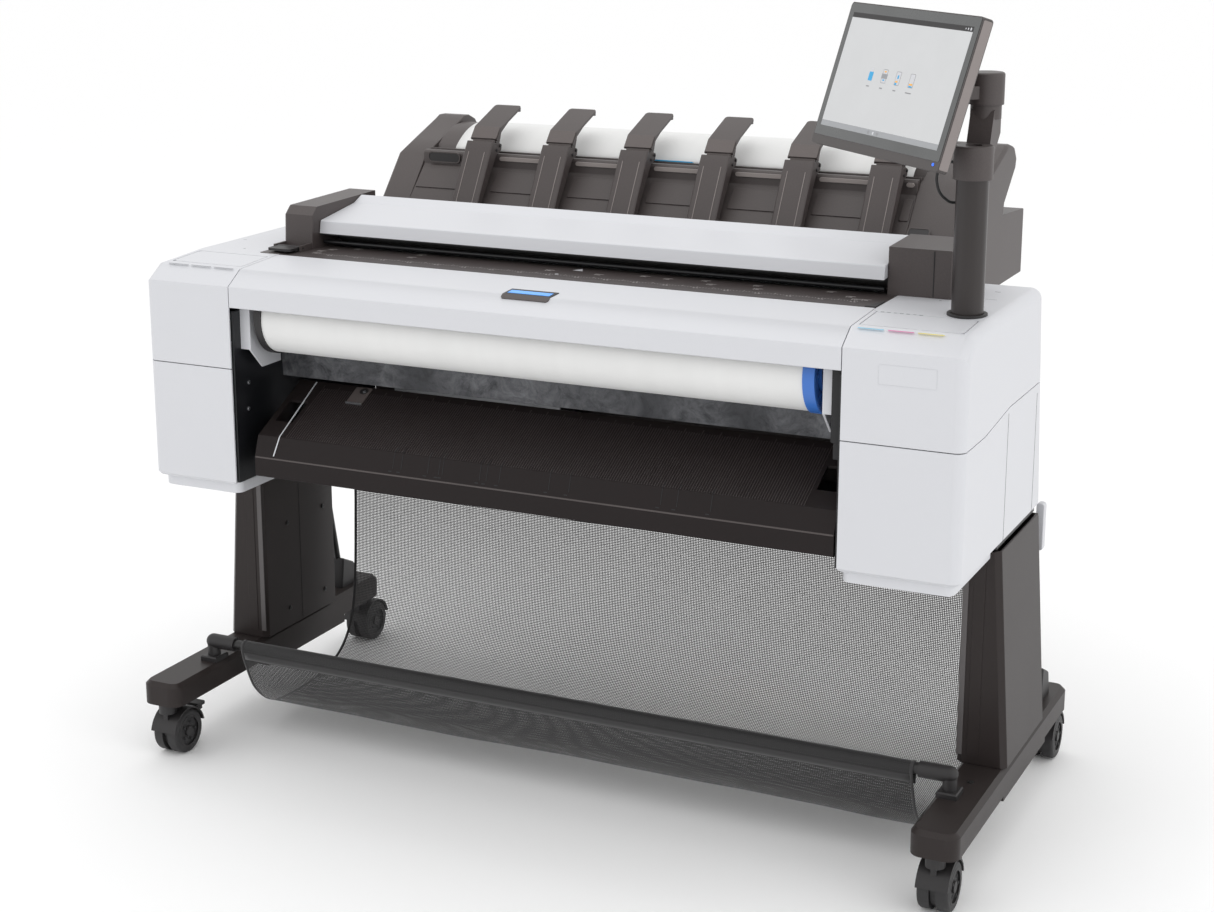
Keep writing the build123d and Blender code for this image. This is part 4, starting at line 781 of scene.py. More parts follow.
def basket_swell(x, share):
    """Depth and height of the hanging waves at a place on the cloth."""
    hold = max(0.0, sin(pi * min(1.0, max(0.0, (share - 0.09) / 0.84)))) ** 0.7
    broad = 2.2 * sin(x / 140 + 0.6) + 1.3 * sin(x / 61 + 2.0)
    fine = 0.7 * sin(x / 23 + 1.1) * max(0.0, 1 - share * 2.2)
    return (0.5 * hold * (broad + fine), 0.8 * hold * (broad + fine) + 2.0 * hold)


basket_points = [
    (-286.5, 141),
    (-283, 155),
    *round_bar(FRONT_ROD, 10.6, 0, 180, 6),
    (-300.5, 158),
    (-291, 130),
    (-266, 81),
    (-218, 43),
    (-150, 34),
    (-52, 39),
    (20, 71),
    (58, 149),
    (72, 315),
    (73.4, 400),
    *round_bar(REAR_BAR, 7.6, 180, 0, 5),
    (86, 410),
    (79, 398),
]
basket_line, basket_length = smooth_line(basket_points, 7)
BASKET_ENDS = (BASKET_LOW_X, BASKET_HIGH_X)
basket = web("catch_basket", basket_line, basket_length, *BASKET_ENDS, 130, basket_swell, mesh_cloth, "mesh")
print("basket length", round(basket_length), "rows", len(basket_line))

# %% [markdown]
# A cut edge of mesh would fray, so a tape is sewn over each side edge and along both sleeves. The
# tapes are closed strips a millimetre thick that follow the same line as the cloth.

# %% Basket hems
def hem_strip(shape, low_x, high_x, first, last, thick=1.1):
    """A closed strip along part of the basket's line."""
    line = basket_line[first:last]
    outer, inner = [], []
    for i, p in enumerate(line):
        q, o = line[min(i + 1, len(line) - 1)], line[max(i - 1, 0)]
        run = (q - o).normalized()
        across = Vector((-run.y, run.x)) * thick / 2
        outer.append(p + across)
        inner.append(p - across)
    rings = []
    columns = max(1, round((high_x - low_x) / 12))
    for j in range(columns + 1):
        x = low_x + (high_x - low_x) * j / columns
        ring = []
        for k, p in enumerate(outer + inner[::-1]):
            i = k if k < len(line) else 2 * len(line) - 1 - k
            dy, dz = basket_swell(x, (first + i) / (len(basket_line) - 1))
            ring.append(shape.verts.new((x, p.x + dy, p.y + dz)))
        rings.append(ring)
    for a, b in zip(rings, rings[1:]):
        for i in range(len(a)):
            j = (i + 1) % len(a)
            shape.faces.new((a[i], a[j], b[j], b[i]))
    for ring in (rings[0], rings[-1][::-1]):
        half = len(line)
        for i in range(half - 1):
            shape.faces.new((ring[i], ring[i + 1], ring[-2 - i], ring[-1 - i]))


def make_basket_hems():
    shape = bmesh.new()
    last = len(basket_line)
    hem_strip(shape, BASKET_LOW_X - 0.5, BASKET_LOW_X + 4.5, 0, last, 0.8)
    hem_strip(shape, BASKET_HIGH_X - 4.5, BASKET_HIGH_X + 0.5, 0, last, 0.8)
    hem_strip(shape, BASKET_LOW_X + 5, BASKET_HIGH_X - 5, 10, 13, 1.3)
    hem_strip(shape, BASKET_LOW_X + 5, BASKET_HIGH_X - 5, last - 5, last - 3, 1.3)
    piece = finish_piece("basket_hems", shape, hem_tape, "chassis")
    for face in piece.data.polygons:
        face.use_smooth = True
    return piece


basket_hems = make_basket_hems()
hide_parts("basket_fabric")

# %% [markdown]
# A finished print lies over the stacker's curved deck and shows between the arms. Paper bends one
# way only, so it is one smooth line pulled straight across the machine, and thickened to a
# quarter of a millimetre. Its low edge rests on the dark rail, and its end curls over the back.

# %% Printed sheet
DECK = [(204, -5), (212, 5), (240, 22), (270, 32), (305, 35), (340, 28), (372, 10), (396.4, -17)]
DECK_Z = 976
SHEET_LIFT = 1.4
SHEET_LOW_X, SHEET_HIGH_X = -440, 414
SHEET_WIDTH = SHEET_HIGH_X - SHEET_LOW_X
sheet_line, sheet_length = smooth_line([(y, DECK_Z + z + SHEET_LIFT) for y, z in DECK], 6)


def paper_swell(x, share):
    """A faint lift towards the two free edges."""
    return (0.0, 0.5 * share * (1 + cos(2 * pi * (x - SHEET_LOW_X) / SHEET_WIDTH)))


printed_sheet = web(
    "printed_sheet", sheet_line, sheet_length, SHEET_LOW_X, SHEET_HIGH_X, 40, paper_swell, paper, "paper"
)
thickness = printed_sheet.modifiers.new("thickness", "SOLIDIFY")
thickness.thickness = 0.00025
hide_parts("output_sheet")

# %% [markdown]
# The operator screen is a tablet on a tilting arm. Its front is one glass, with a darker header
# strip, a light desktop with four task icons, a grey footer and a plastic chin below with one blue
# lamp. Each is a thin plate laid on the glass, because the edges then stay crisp at any distance,
# where a painted pattern would blur. The icons are plain shapes for this machine's four tasks.

# %% Operator screen
GLASS_MIDDLE = Vector((514, -233, 1169.5))
GLASS_RIGHT = Vector((0.7408, -0.6717, 0)).normalized()
GLASS_UP = Vector((0.201, 0.2215, 0.954)).normalized()
GLASS_WIDTH, GLASS_HEIGHT = 360, 214


def on_glass(u, v):
    """A place on the glass, from shares of its width and of its height from the top."""
    return GLASS_MIDDLE + GLASS_RIGHT * (u - 0.5) * GLASS_WIDTH + GLASS_UP * (0.5 - v) * GLASS_HEIGHT


def screen_plate(name, left, top, right, bottom, radius, low, high, finish, rounding=0.0):
    shape = bmesh.new()
    size = ((right - left) * GLASS_WIDTH, (bottom - top) * GLASS_HEIGHT)
    middle = on_glass((left + right) / 2, (top + bottom) / 2)
    plate(shape, middle, GLASS_RIGHT, GLASS_UP, rounded(*size, radius), low, high)
    return finish_piece(name, shape, finish, "screen", rounding)


screen_plate("screen_bezel", 0.006, 0.008, 0.992, 0.936, 2.0, -0.6, 0.5, bezel_glass, 0.2)
screen_plate("screen_header", 0.04, 0.07, 0.957, 0.104, 0.3, 0.3, 0.62, black_plastic)
screen_plate("screen_desktop", 0.04, 0.1045, 0.957, 0.83, 0.3, 0.3, 0.65, display_white)
screen_plate("screen_footer", 0.04, 0.8305, 0.957, 0.868, 0.3, 0.3, 0.64, display_bar)
print("screen plates on", tuple(round(x) for x in GLASS_MIDDLE))

# %% Screen icons and lamp
SHEET_ICONS = (0.427, 0.532, 0.638)     # three of the four icons are drawn on a white sheet
ICON_TOP = 0.75                         # how far the icons stand over the glass, in millimetres


def icon_shapes():
    """Per finish, the plates of the icons: share across, share down, width, height, corner."""
    sheets, inks, blues, ambers = [], [], [], []
    blues.append((0.322, 0.482, 11, 13, 1.2))
    sheets.append((0.322, 0.438, 7, 6, 0.6))
    for u in SHEET_ICONS:
        sheets.append((u, 0.468, 12, 19, 1.0))
    inks.append((0.427, 0.468, 16, 7, 0.8))
    blues.append((0.427, 0.494, 5, 2, 0.4))
    ambers.append((0.427, 0.437, 5, 2, 0.4))
    blues.extend([(0.532, 0.458, 4, 5, 0.4), (0.525, 0.505, 5, 3, 0.4), (0.638, 0.507, 9, 2, 0.4)])
    ambers.extend([(0.528, 0.49, 6, 2.4, 0.4), (0.638, 0.493, 9, 2.4, 0.4)])
    return (
        ("sheets", sheets, bracket_white),
        ("inks", inks, grey_ink),
        ("blues", blues, sky_ink),
        ("ambers", ambers, amber_ink),
    )


def glass_plate(shape, u, v, width, height, corner, steps=3, low=0.5, high=ICON_TOP):
    """A small plate on the glass, by the shares of its middle and its size in millimetres."""
    plate(shape, on_glass(u, v), GLASS_RIGHT, GLASS_UP, rounded(width, height, corner, steps), low, high)


def make_icons():
    for depth, (label, spots, finish) in enumerate(icon_shapes()):
        shape = bmesh.new()
        for u, v, width, height, corner in spots:
            glass_plate(shape, u, v, width, height, corner, high=ICON_TOP + 0.06 * depth)
        finish_piece(f"screen_icon_{label}", shape, finish, "screen")
    shape = bmesh.new()
    edges = (rounded(12.8, 19.8, 1.4, 3), rounded(11.6, 18.6, 0.9, 3))
    for u in SHEET_ICONS:
        rim(shape, on_glass(u, 0.468), GLASS_RIGHT, GLASS_UP, *edges, 0.5, 0.8)
    for u, width in ((0.322, 8), (0.427, 8), (0.532, 8), (0.638, 16)):
        glass_plate(shape, u - 0.003, 0.55, width, 1.6, 0.7)
    for u in (0.43, 0.50):
        glass_plate(shape, u, 0.85, 4, 4.4, 0.8)
    finish_piece("screen_captions", shape, caption_ink, "screen")
    shape = bmesh.new()
    glass_plate(shape, 0.467, 0.85, 4, 4.4, 1.6, steps=4)
    for u, size in ((0.905, 2.0), (0.922, 2.6), (0.941, 3.4)):
        glass_plate(shape, u, 0.087, size, size * 1.2, size * 0.45, steps=4)
    finish_piece("screen_header_icons", shape, bracket_white, "screen")
    shape = bmesh.new()
    glass_plate(shape, 0.958, 0.958, 4.2, 4.2, 2.05, steps=6, low=-0.3, high=0.5)
    finish_piece("screen_lamp", shape, lamp_blue, "screen")


make_icons()

# %% [markdown]
# The roll cover carries a small status window in its front ridge: a dark frame that wraps over the
# ridge and a blue light strip. The ridge is a corner between the bevel and the top, so the frame is
# one bent outline pushed across the width, and the strip sits in its top.

# %% Status window
WINDOW_X = (-46, 34)


def make_status_window():
    shape = bmesh.new()
    bend = [(-358.4, 842.9), (-328, 844.9), (-328, 843.0), (-358, 840.2)]
    prism(shape, [(WINDOW_X[0], y, z) for y, z in bend], (WINDOW_X[1] - WINDOW_X[0], 0, 0))
    frame_piece = finish_piece("status_frame", shape, black_plastic, "roll_cover", 0.5)
    shape = bmesh.new()
    bevel_up = Vector((0, 35, 23)).normalized()
    lip = [(-40, 5.2), (-40, -2), (-37, -5.2), (37, -5.2), (40, -2), (40, 5.2)]
    middle = Vector(((WINDOW_X[0] + WINDOW_X[1]) / 2, -362.6, 839.4))
    plate(shape, middle, ALONG_X, bevel_up, lip, -0.6, 1.1)
    finish_piece("status_lip", shape, dark_plastic, "roll_cover", 0.4)
    shape = bmesh.new()
    strip = [(-352.5, 843.1), (-337, 844.1), (-337, 844.7), (-352.5, 843.8)]
    prism(shape, [(WINDOW_X[0] + 5, y, z) for y, z in strip], (WINDOW_X[1] - WINDOW_X[0] - 10, 0, 0))
    finish_piece("status_light", shape, status_blue, "roll_cover")
    return frame_piece


status_frame = make_status_window()
print("status window", tuple(round(x, 3) for x in status_frame.dimensions))

# %% [markdown]
# The doors over the ink cartridges are marked so that an operator knows which ink is where: three
# grey bars on the left, and cyan, magenta and yellow on the right. A row of small squares behind the
# coloured bars stands for the symbols there. All are ink, so they are thin plates.

# %% Ink marks
def flat_marks(name, spots, height, finish, body, thick=0.12):
    """Thin marks on a level face: each spot is a middle, a width and a depth."""
    shape = bmesh.new()
    for x, y, width, depth in spots:
        corner = 0.45 * min(width, depth)
        plate(shape, (x, y, height), ALONG_X, ALONG_Y, rounded(width, depth, corner, 3), -0.3, thick)
    return finish_piece(name, shape, finish, body)


RIDGE_Y, RIDGE_Z = -361.5, 842.2    # where the doors' bars lie, in front of the doors
DOOR_Z = 847                        # top of an ink door


def make_ink_marks():
    dashes = [(-637.8, 38.6), (-594.1, 38.7), (-550.5, 37.9)]
    bars = [(x, RIDGE_Y, width, 2.2) for x, width in dashes]
    flat_marks("left_door_bars", bars, RIDGE_Z, grey_ink, "chassis")
    colours = ((535, cyan_ink, "cyan"), (578.8, magenta_ink, "magenta"), (622, yellow_ink, "yellow"))
    for x, finish, label in colours:
        bar = [(x, RIDGE_Y, 38, 2.6)]
        flat_marks(f"right_door_bar_{label}", bar, RIDGE_Z, finish, "chassis")
    squares = [(511 + 9.6 * i, -265, 5.5, 8 if i % 3 else 5) for i in range(8)]
    flat_marks("right_door_symbols", squares, DOOR_Z, grey_ink, "ink_door_right")
    small = [(632, -57, 9, 3), (573.5, -158, 4, 4), (638, -117, 18, 1.4)]
    flat_marks("right_cover_marks", small, TOP_Z, grey_ink, "chassis")
    small = [(-604, -225, 4, 4), (-655, -150, 7, 1.4)]
    flat_marks("left_cover_marks", small, TOP_Z, grey_ink, "chassis")


make_ink_marks()

# %% [markdown]
# On the upper right cover is a blank rating plate: a shallow frame round a field of the same white.
# Each cover's side has two upright joints. They are thin strips of dark, half sunk in the face.

# %% Blank plate and cover seams
def make_cover_details():
    shape = bmesh.new()
    middle, field = (600, -393, 786), rounded(82.6, 27.6, 1.6)
    rim(shape, middle, ALONG_X, ALONG_Z, rounded(84, 29, 2.2), field, -0.3, 0.35)
    finish_piece("blank_plate_rim", shape, bracket_white, "chassis")
    shape = bmesh.new()
    plate(shape, middle, ALONG_X, ALONG_Z, field, -0.3, 0.12)
    finish_piece("blank_plate", shape, cover_white, "chassis")
    shape = bmesh.new()
    for y, top in ((-161.2, 690), (5, 684)):
        block(shape, (COVER_SIDE_X - 0.6, y, COVER_LOW_Z), (COVER_SIDE_X + 0.15, y + 1.2, top))
        block(shape, (-COVER_SIDE_X - 0.15, y, COVER_LOW_Z), (-COVER_SIDE_X + 0.6, y + 1.2, top))
    finish_piece("cover_seams", shape, seam_black, "chassis")


make_cover_details()
print("cover details made")

# %% [markdown]
# The loading platform slopes down towards the operator. Paper slides over close ribs that run down
# the slope, a silver line shows where the paper's edge goes, and a metal latch is screwed on near
# the left. The ribs are several hundred narrow strips. They follow the platform's own bent
# profile, so they are made as one outline pushed a little sideways, again and again.

# %% Loading platform
rib_brown = coated("rib_brown", tone(58, 51, 51), 0.5, grain=800, depth=0.00002, vary=0.08)
line_silver = coated("line_silver", tone(206, 208, 212), 0.4, grain=800, depth=0.00001, vary=0.05)
latch_brown = coated("latch_brown", tone(94, 86, 84), 0.4, grain=800, depth=0.00003, vary=0.06)
SLOPE_TOP, SLOPE_KINK = Vector((-246, 640)), Vector((-374, 576))


def on_slope(x, share, height=0.0):
    """A place on the slope, by share from its top edge to the kink."""
    at = SLOPE_TOP.lerp(SLOPE_KINK, share)
    out = Vector((-(SLOPE_TOP - SLOPE_KINK).y, (SLOPE_TOP - SLOPE_KINK).x)).normalized()
    return Vector((x, at.x + out.x * height, at.y + out.y * height))


DOWN_SLOPE = (on_slope(0, 0) - on_slope(0, 1)).normalized()


RIB_START_X, RIB_PITCH, RIB_COUNT = -436, 4.2, 211
RIB_WIDTH, RIB_HEIGHT, RIB_ROOT = 1.1, 0.55, -0.4


def make_ribs():
    """Every seventh rib starts a little higher up."""
    shape = bmesh.new()
    for i in range(RIB_COUNT):
        x = RIB_START_X + RIB_PITCH * i
        start = 0.1 if i % 7 else 0.05
        outline = ((start, RIB_ROOT), (start + 0.012, RIB_HEIGHT), (0.985, RIB_HEIGHT), (0.99, RIB_ROOT))
        prism(shape, [on_slope(x, share, height) for share, height in outline], (RIB_WIDTH, 0, 0))
    return finish_piece("platform_ribs", shape, rib_brown, "drawer")


def make_platform_lines():
    shape = bmesh.new()
    path = [on_slope(-455.2, 0.015, 0.4), on_slope(-447.6, 0.985, 0.4)]
    path += [Vector((-447.4, -374.6, 575.2)), Vector((-452.8, -385.2, 546.5))]
    for a, b in zip(path, path[1:]):
        along = (b - a).normalized()
        middle = (a + b) / 2
        plate(shape, middle, ALONG_X, -along, rounded(1.8, (b - a).length, 0.3, 2), -0.8, 0.4)
    return finish_piece("platform_edge_line", shape, line_silver, "drawer")


def make_platform_latch():
    shape = bmesh.new()
    middle = on_slope(-361.6, 0.165)
    plate(shape, middle, ALONG_X, DOWN_SLOPE, rounded(30, 40, 1.5), -0.6, 1.6)
    latch = finish_piece("platform_latch", shape, latch_brown, "drawer", 0.4)
    shape = bmesh.new()
    plate(shape, on_slope(-358, 0.09), ALONG_X, DOWN_SLOPE, rounded(15, 15, 7.4, 6), 1.4, 2.4)
    finish_piece("platform_latch_screw", shape, black_plastic, "drawer", 0.3)
    shape = bmesh.new()
    plate(shape, on_slope(-356, 0.1), ALONG_X, DOWN_SLOPE, rounded(6, 6, 2.9, 5), 2.2, 3.2)
    plate(shape, on_slope(-361.6, 0.308), ALONG_X, DOWN_SLOPE, rounded(30, 2.4, 0.8), -0.6, 3.0)
    finish_piece("platform_latch_edge", shape, bare_steel, "drawer", 0.3)
    return latch


platform_ribs = make_ribs()
make_platform_lines()
make_platform_latch()
print("platform ribs", len(platform_ribs.data.polygons) // 6)

# %% [markdown]
# Below the kink, pairs of short lines show the edges of the usual paper widths. Each line crosses
# the kink, so it is two plates, one up the slope and one down the front band, with a small dash at
# the foot where a size would be printed. Along the lip's edge runs a painted highlight, a lighter
# line.

# %% Paper width lines
WIDTH_LINES = (-232, -217, -169.5, -150, -143.5, -78, -66, -44, 41, 75, 226, 252, 306)


def make_width_lines():
    shape = bmesh.new()
    band = Vector((0, -374 + 386, 576 - 542)).normalized()
    for x in WIDTH_LINES:
        plate(shape, on_slope(x, 0.955), ALONG_X, DOWN_SLOPE, rounded(0.9, 15, 0.2, 2), -0.3, 0.62)
        plate(shape, (x, -378.5, 563.5), ALONG_X, band, rounded(0.9, 24, 0.2, 2), -0.3, 0.25)
        plate(shape, (x - 4.5, -384.0, 547.8), ALONG_X, band, rounded(6, 1.6, 0.5, 2), -0.3, 0.2)
    finish_piece("paper_width_lines", shape, seam_black, "drawer")
    shape = bmesh.new()
    # painted highlight: a lighter strip along the lip's edge
    prism(shape, [(-487, -386.6, 541), (-487, -385.6, 543.4), (-487, -384.5, 541.5)], (984, 0, 0))
    finish_piece("platform_lip_highlight", shape, dark_plastic, "drawer", 0.2)


make_width_lines()
print("width lines", len(WIDTH_LINES))

# %% [markdown]
# The scan bed carries a printed ruler along its front and small setting marks behind it, so an
# original can be lined up under the lid. The dashes come from a loop over the width. The marks
# behind are a short list of places, each a tick with a dash, and a triangle points at the middle.

# %% Scan bed marks
RULER_START_X, RULER_STEP, RULER_MARKS = -465, 5, 187


def make_ruler():
    """A dash every step, longer every fifth and longest every tenth."""
    spots = []
    for i in range(RULER_MARKS):
        x = RULER_START_X + i * RULER_STEP
        length = 9 if i % 10 == 0 else (6 if i % 5 == 0 else 3.2)
        spots.append((x, -213 + length / 2 - 3, 0.8, length))
        if i % 10 == 5:
            spots.append((x - 3, -220, 3.4, 2.6))
            spots.append((x + 2.5, -220, 3.4, 2.6))
    return flat_marks("bed_ruler", spots, TOP_Z, pale_ink, "chassis")


SETTING_MARKS = (
    (-478, -210), (-481, -191), (-471, -172), (-434, -151), (-315, -180), (-312, -153),
    (97, -168), (138, -173), (197, -163), (215, -186), (284, -166), (293, -190),
    (401, -163), (439, -187), (453, -202), (468, -200), (-60, -186), (26, -186),
)


def make_setting_marks():
    spots = []
    for x, y in SETTING_MARKS:
        spots.extend([(x, y, 1.3, 9), (x + 7, y + 3.8, 12, 1.3), (x + 6, y - 2.2, 6.5, 2.2)])
    flat_marks("bed_setting_marks", spots, TOP_Z, pale_ink, "chassis")
    shape = bmesh.new()
    triangle = [(-21, -170, TOP_Z - 0.3), (-4, -170, TOP_Z - 0.3), (-13, -151, TOP_Z - 0.3)]
    prism(shape, triangle, (0, 0, 0.45))
    plate(shape, (-30, -209, TOP_Z), ALONG_X, ALONG_Y, rounded(6, 6, 2.9, 5), -0.3, 0.15)
    return finish_piece("bed_middle_mark", shape, bracket_white, "chassis")


ruler = make_ruler()
make_setting_marks()
print("ruler", len(ruler.data.polygons) // 18, "dashes")

# %% [markdown]
# Under the lid a rubber lip and a polished guide rod meet the original. The rod is dark steel,
# painted shade for the gap under the lid. The lid's front edge has a fine joint between its upper
# shell and its underside. The left lever rests on a dark plate.

# %% Lid and lever details
def make_lid_details():
    shape = bmesh.new()
    # painted shade: the rod is dark steel for the dark gap under the lid
    rod(shape, (-494, -150.5, 856.5), (485, -150.5, 856.5), 3.2, 20)
    finish_piece("bed_guide_rod", shape, black_steel, "chassis")
    shape = bmesh.new()
    block(shape, (-496, -161.3, 870.0), (487, -160.6, 871.1))
    finish_piece("lid_joint", shape, seam_black, "scanner_lid")
    shape = bmesh.new()
    plate(shape, (-541, -223, TOP_Z), ALONG_X, ALONG_Y, rounded(38, 48, 4), -0.4, 0.7)
    finish_piece("lever_plate", shape, dark_plastic, "chassis", 0.3)
    shape = bmesh.new()
    prism(shape, [(487, -248, 848.2), (504, -248, 848.2), (504, -203, 848.2)], (0, 0, 1.4))
    finish_piece("bed_corner_wedge", shape, black_plastic, "chassis", 0.3)
    shape = bmesh.new()
    block(shape, (558, -146.2, 849), (559.2, -38, 850.2))
    block(shape, (558, -146.3, 850), (559.2, -145.7, 918))
    finish_piece("right_cap_seam", shape, seam_black, "chassis")


make_lid_details()

# %% [markdown]
# The stacker's arms reach over a rail of plastic bars, with a dark rail behind it and one blue strip
# near the middle. The bars' light grey is a painted highlight along the rounded rail. The front
# panel behind the arms steps in half way up. All of it lies between the arms, so loops over their
# pitch make it.

# %% Stacker rail and panel
ARM_X = [-353 + 148.5 * i for i in range(6)]
ARM_HALF = 26


def between_arms(low_end, high_end):
    """The free stretches of the stacker's front: left of, between and right of the arms."""
    lows = [low_end, *[x + ARM_HALF for x in ARM_X]]
    highs = [*[x - ARM_HALF for x in ARM_X], high_end]
    return list(zip(lows, highs))


def make_stacker_rail():
    shape = bmesh.new()
    gaps = between_arms(-479, 434)
    for low, high in gaps[1:]:
        # painted highlight: each bar is light grey for the light along the rounded rail
        bar = rounded(high - low - 5, 7.4, 3.6)
        plate(shape, ((low + high) / 2, 158, 968), ALONG_X, ALONG_Z, bar, -0.4, 3.0)
    finish_piece("stacker_bars", shape, highlight_grey, "chassis", 0.6)
    shape = bmesh.new()
    for low, high in gaps:
        block(shape, (low + 1, 174.6, 964.3), (high - 1, 179.4, 970))
    finish_piece("stacker_dark_rail", shape, black_plastic, "chassis", 0.4)
    shape = bmesh.new()
    plate(shape, (-14.5, 189, 977.2), ALONG_X, (0, 14, -4), rounded(89, 9, 1.5), -0.5, 1.3)
    return finish_piece("stacker_blue_strip", shape, sky_ink, "chassis")


PANEL_FOOT, PANEL_HEAD = Vector((0, 62, 852)), Vector((0, 158, 952))
PANEL_UP = (PANEL_HEAD - PANEL_FOOT).normalized()


def make_panel_step():
    """The raised upper part of the front panel, in one plate for each gap."""
    shape = bmesh.new()
    low_edge, high_edge = PANEL_FOOT.lerp(PANEL_HEAD, 0.62), PANEL_FOOT.lerp(PANEL_HEAD, 0.93)
    middle = (low_edge + high_edge) / 2
    for x0, x1 in between_arms(-478, 435):
        outline = rounded(x1 - x0 - 4, (high_edge - low_edge).length, 2)
        plate(shape, ((x0 + x1) / 2, middle.y, middle.z), ALONG_X, PANEL_UP, outline, -0.5, 1.8)
    return finish_piece("stacker_upper_panels", shape, dark_plastic, "chassis", 0.8)


# painted highlight: a light grey for the rail bars and the arm grooves
highlight_grey = coated("highlight_grey", tone(142, 134, 131), 0.34, 800, depth=0.00003, vary=0.06, dust=0.03)
make_stacker_rail()
make_panel_step()
print("stacker arms at", [round(x) for x in ARM_X])

# %% [markdown]
# Each arm is a plate that slopes up to its flap. Its two grooves are fine light grey lines along the
# slope, a painted highlight, and its cheek carries two pin heads. Every flap has a lighter front and
# ends in two small hooks that keep prints down. Pieces on a flap ride with that flap, so they turn
# with it.

# %% Arm grooves, pins and flap hooks
flap_brown = coated("flap_brown", tone(88, 80, 78), 0.42, grain=520, depth=0.00006, vary=0.12)
ARM_FOOT, ARM_HEAD = Vector((0, 48, 852)), Vector((0, 129, 988))
ARM_UP = (ARM_HEAD - ARM_FOOT).normalized()


def on_arm(x, share):
    at = ARM_FOOT.lerp(ARM_HEAD, share)
    return Vector((x, at.y, at.z))


def make_arm_details():
    grooves, pins = bmesh.new(), bmesh.new()
    reach = (ARM_HEAD - ARM_FOOT).length
    for x in ARM_X:
        for side in (-16, 15):
            # painted highlight: each groove is a line of light grey
            groove = rounded(1.0, reach * 0.92, 0.4, 2)
            plate(grooves, on_arm(x + side, 0.5), ALONG_X, ARM_UP, groove, -0.3, 0.45)
        for y, z in ((163, 990), (149, 984)):
            rod(pins, (x + 25.7, y, z), (x + 27.7, y, z), 2.7, 16)
            rod(pins, (x - 27.7, y, z), (x - 25.7, y, z), 2.7, 16)
    finish_piece("arm_grooves", grooves, highlight_grey, "chassis")
    finish_piece("arm_pin_heads", pins, black_plastic, "chassis", 0.3)
    for i, x in enumerate(ARM_X):
        shape = bmesh.new()
        block(shape, (x + 18, 241.0, 1041.5), (x + 24, 246.6, 1048.5))
        block(shape, (x - 24, 241.0, 1041.5), (x - 18, 246.6, 1048.5))
        finish_piece(f"flap_{i + 1}_hooks", shape, dark_plastic, f"flap_{i + 1}", 0.3)
        shape = bmesh.new()
        plate(shape, (x, 158.6, 1012.6), ALONG_X, (0, 17, 20), rounded(50, 25, 2), -0.8, 1.0)
        plate(shape, (x, 151.4, 999.5), ALONG_X, (0, 5, 20), rounded(43, 11, 1.5), -2.2, 0.2)
        finish_piece(f"flap_{i + 1}_front", shape, flap_brown, f"flap_{i + 1}", 0.4)


make_arm_details()
print("arm details", len(ARM_X))

# %% [markdown]
# Left of the first arm the stacker has a hand slot with a lighter rim, and the right end housing has
# a shallow pocket in its slope. A slot is a dark plate with a raised rim round it. The dark plate is
# painted shade in place of the hollow, which reads as depth and stays inside the housing's wall.

# %% Stacker end details
EAR_SLOPE = (0, 1, 1)
HAND_SLOT, EAR_POCKET = (-436, 158, 964.5), (458, 96.4, 897.2)


def make_ear_details():
    shape = bmesh.new()
    # painted shade: dark plates stand for the shade inside the hand slot and the pocket
    plate(shape, HAND_SLOT, ALONG_X, ALONG_Z, rounded(62, 16, 7), -0.4, 2.6)
    plate(shape, EAR_POCKET, ALONG_X, EAR_SLOPE, rounded(34, 26, 4), -0.5, 0.5)
    finish_piece("stacker_slot_shades", shape, black_plastic, "chassis")
    shape = bmesh.new()
    rim(shape, HAND_SLOT, ALONG_X, ALONG_Z, rounded(66, 20, 9), rounded(61, 15, 6.5), -0.4, 3.4)
    rim(shape, EAR_POCKET, ALONG_X, EAR_SLOPE, rounded(38, 30, 6), rounded(33, 25, 4), -0.5, 1.1)
    return finish_piece("stacker_slot_rims", shape, dark_plastic, "chassis", 0.3)


make_ear_details()

# %% [markdown]
# The roll bay is a working space of coated sheet steel. Screws hold the side plates and the back
# plate, and the left hub has a black ring like the blue one on the right. A screw is a low disc with
# a cross cut in it. The cut is a dark cross plate on the head, painted shade in place of the hollow.
# One function makes any number of them, facing any way, as one piece.

# %% Screws
def screws(name, places, out, radius, body, finish):
    """Screw heads at many places that all face the same way."""
    shape = bmesh.new()
    out = Vector(out).normalized()
    side = out.orthogonal().normalized()
    for place in places:
        at = Vector(place)
        rod(shape, at - out * 0.6, at + out * 1.5, radius, 20)
        rod(shape, at + out * 1.5, at + out * 2.0, radius * 0.78, 20)
    heads = finish_piece(name, shape, finish, body, 0.25)
    shape = bmesh.new()
    # painted shade: the cross cut is a dark plate on each head
    for place in places:
        at = Vector(place) + out * 1.9
        plate(shape, at, side, out.cross(side), rounded(radius * 1.1, radius * 0.26, 0.1, 2), 0, 0.18)
        plate(shape, at, side, out.cross(side), rounded(radius * 0.26, radius * 1.1, 0.1, 2), 0, 0.2)
    finish_piece(name + "_cross_shade", shape, seam_black, body)
    return heads


BAY_LEFT_X, BAY_RIGHT_X = -518, 501
BAY_SCREWS = ((-355, 612), (-300, 566), (-268, 700), (-352, 655), (-262, 560))
SCREW_RADIUS = 3.6
LEFT_RING_X, BLUE_FACE_X, BLUE_RIB_X = -484.6, 458, 454
HUB_RIBS = 6


def disc(radius):
    """A round outline with forty-four sides, as a rectangle that is nearly all corner."""
    return rounded(2 * radius, 2 * radius, radius - 0.1, 10)


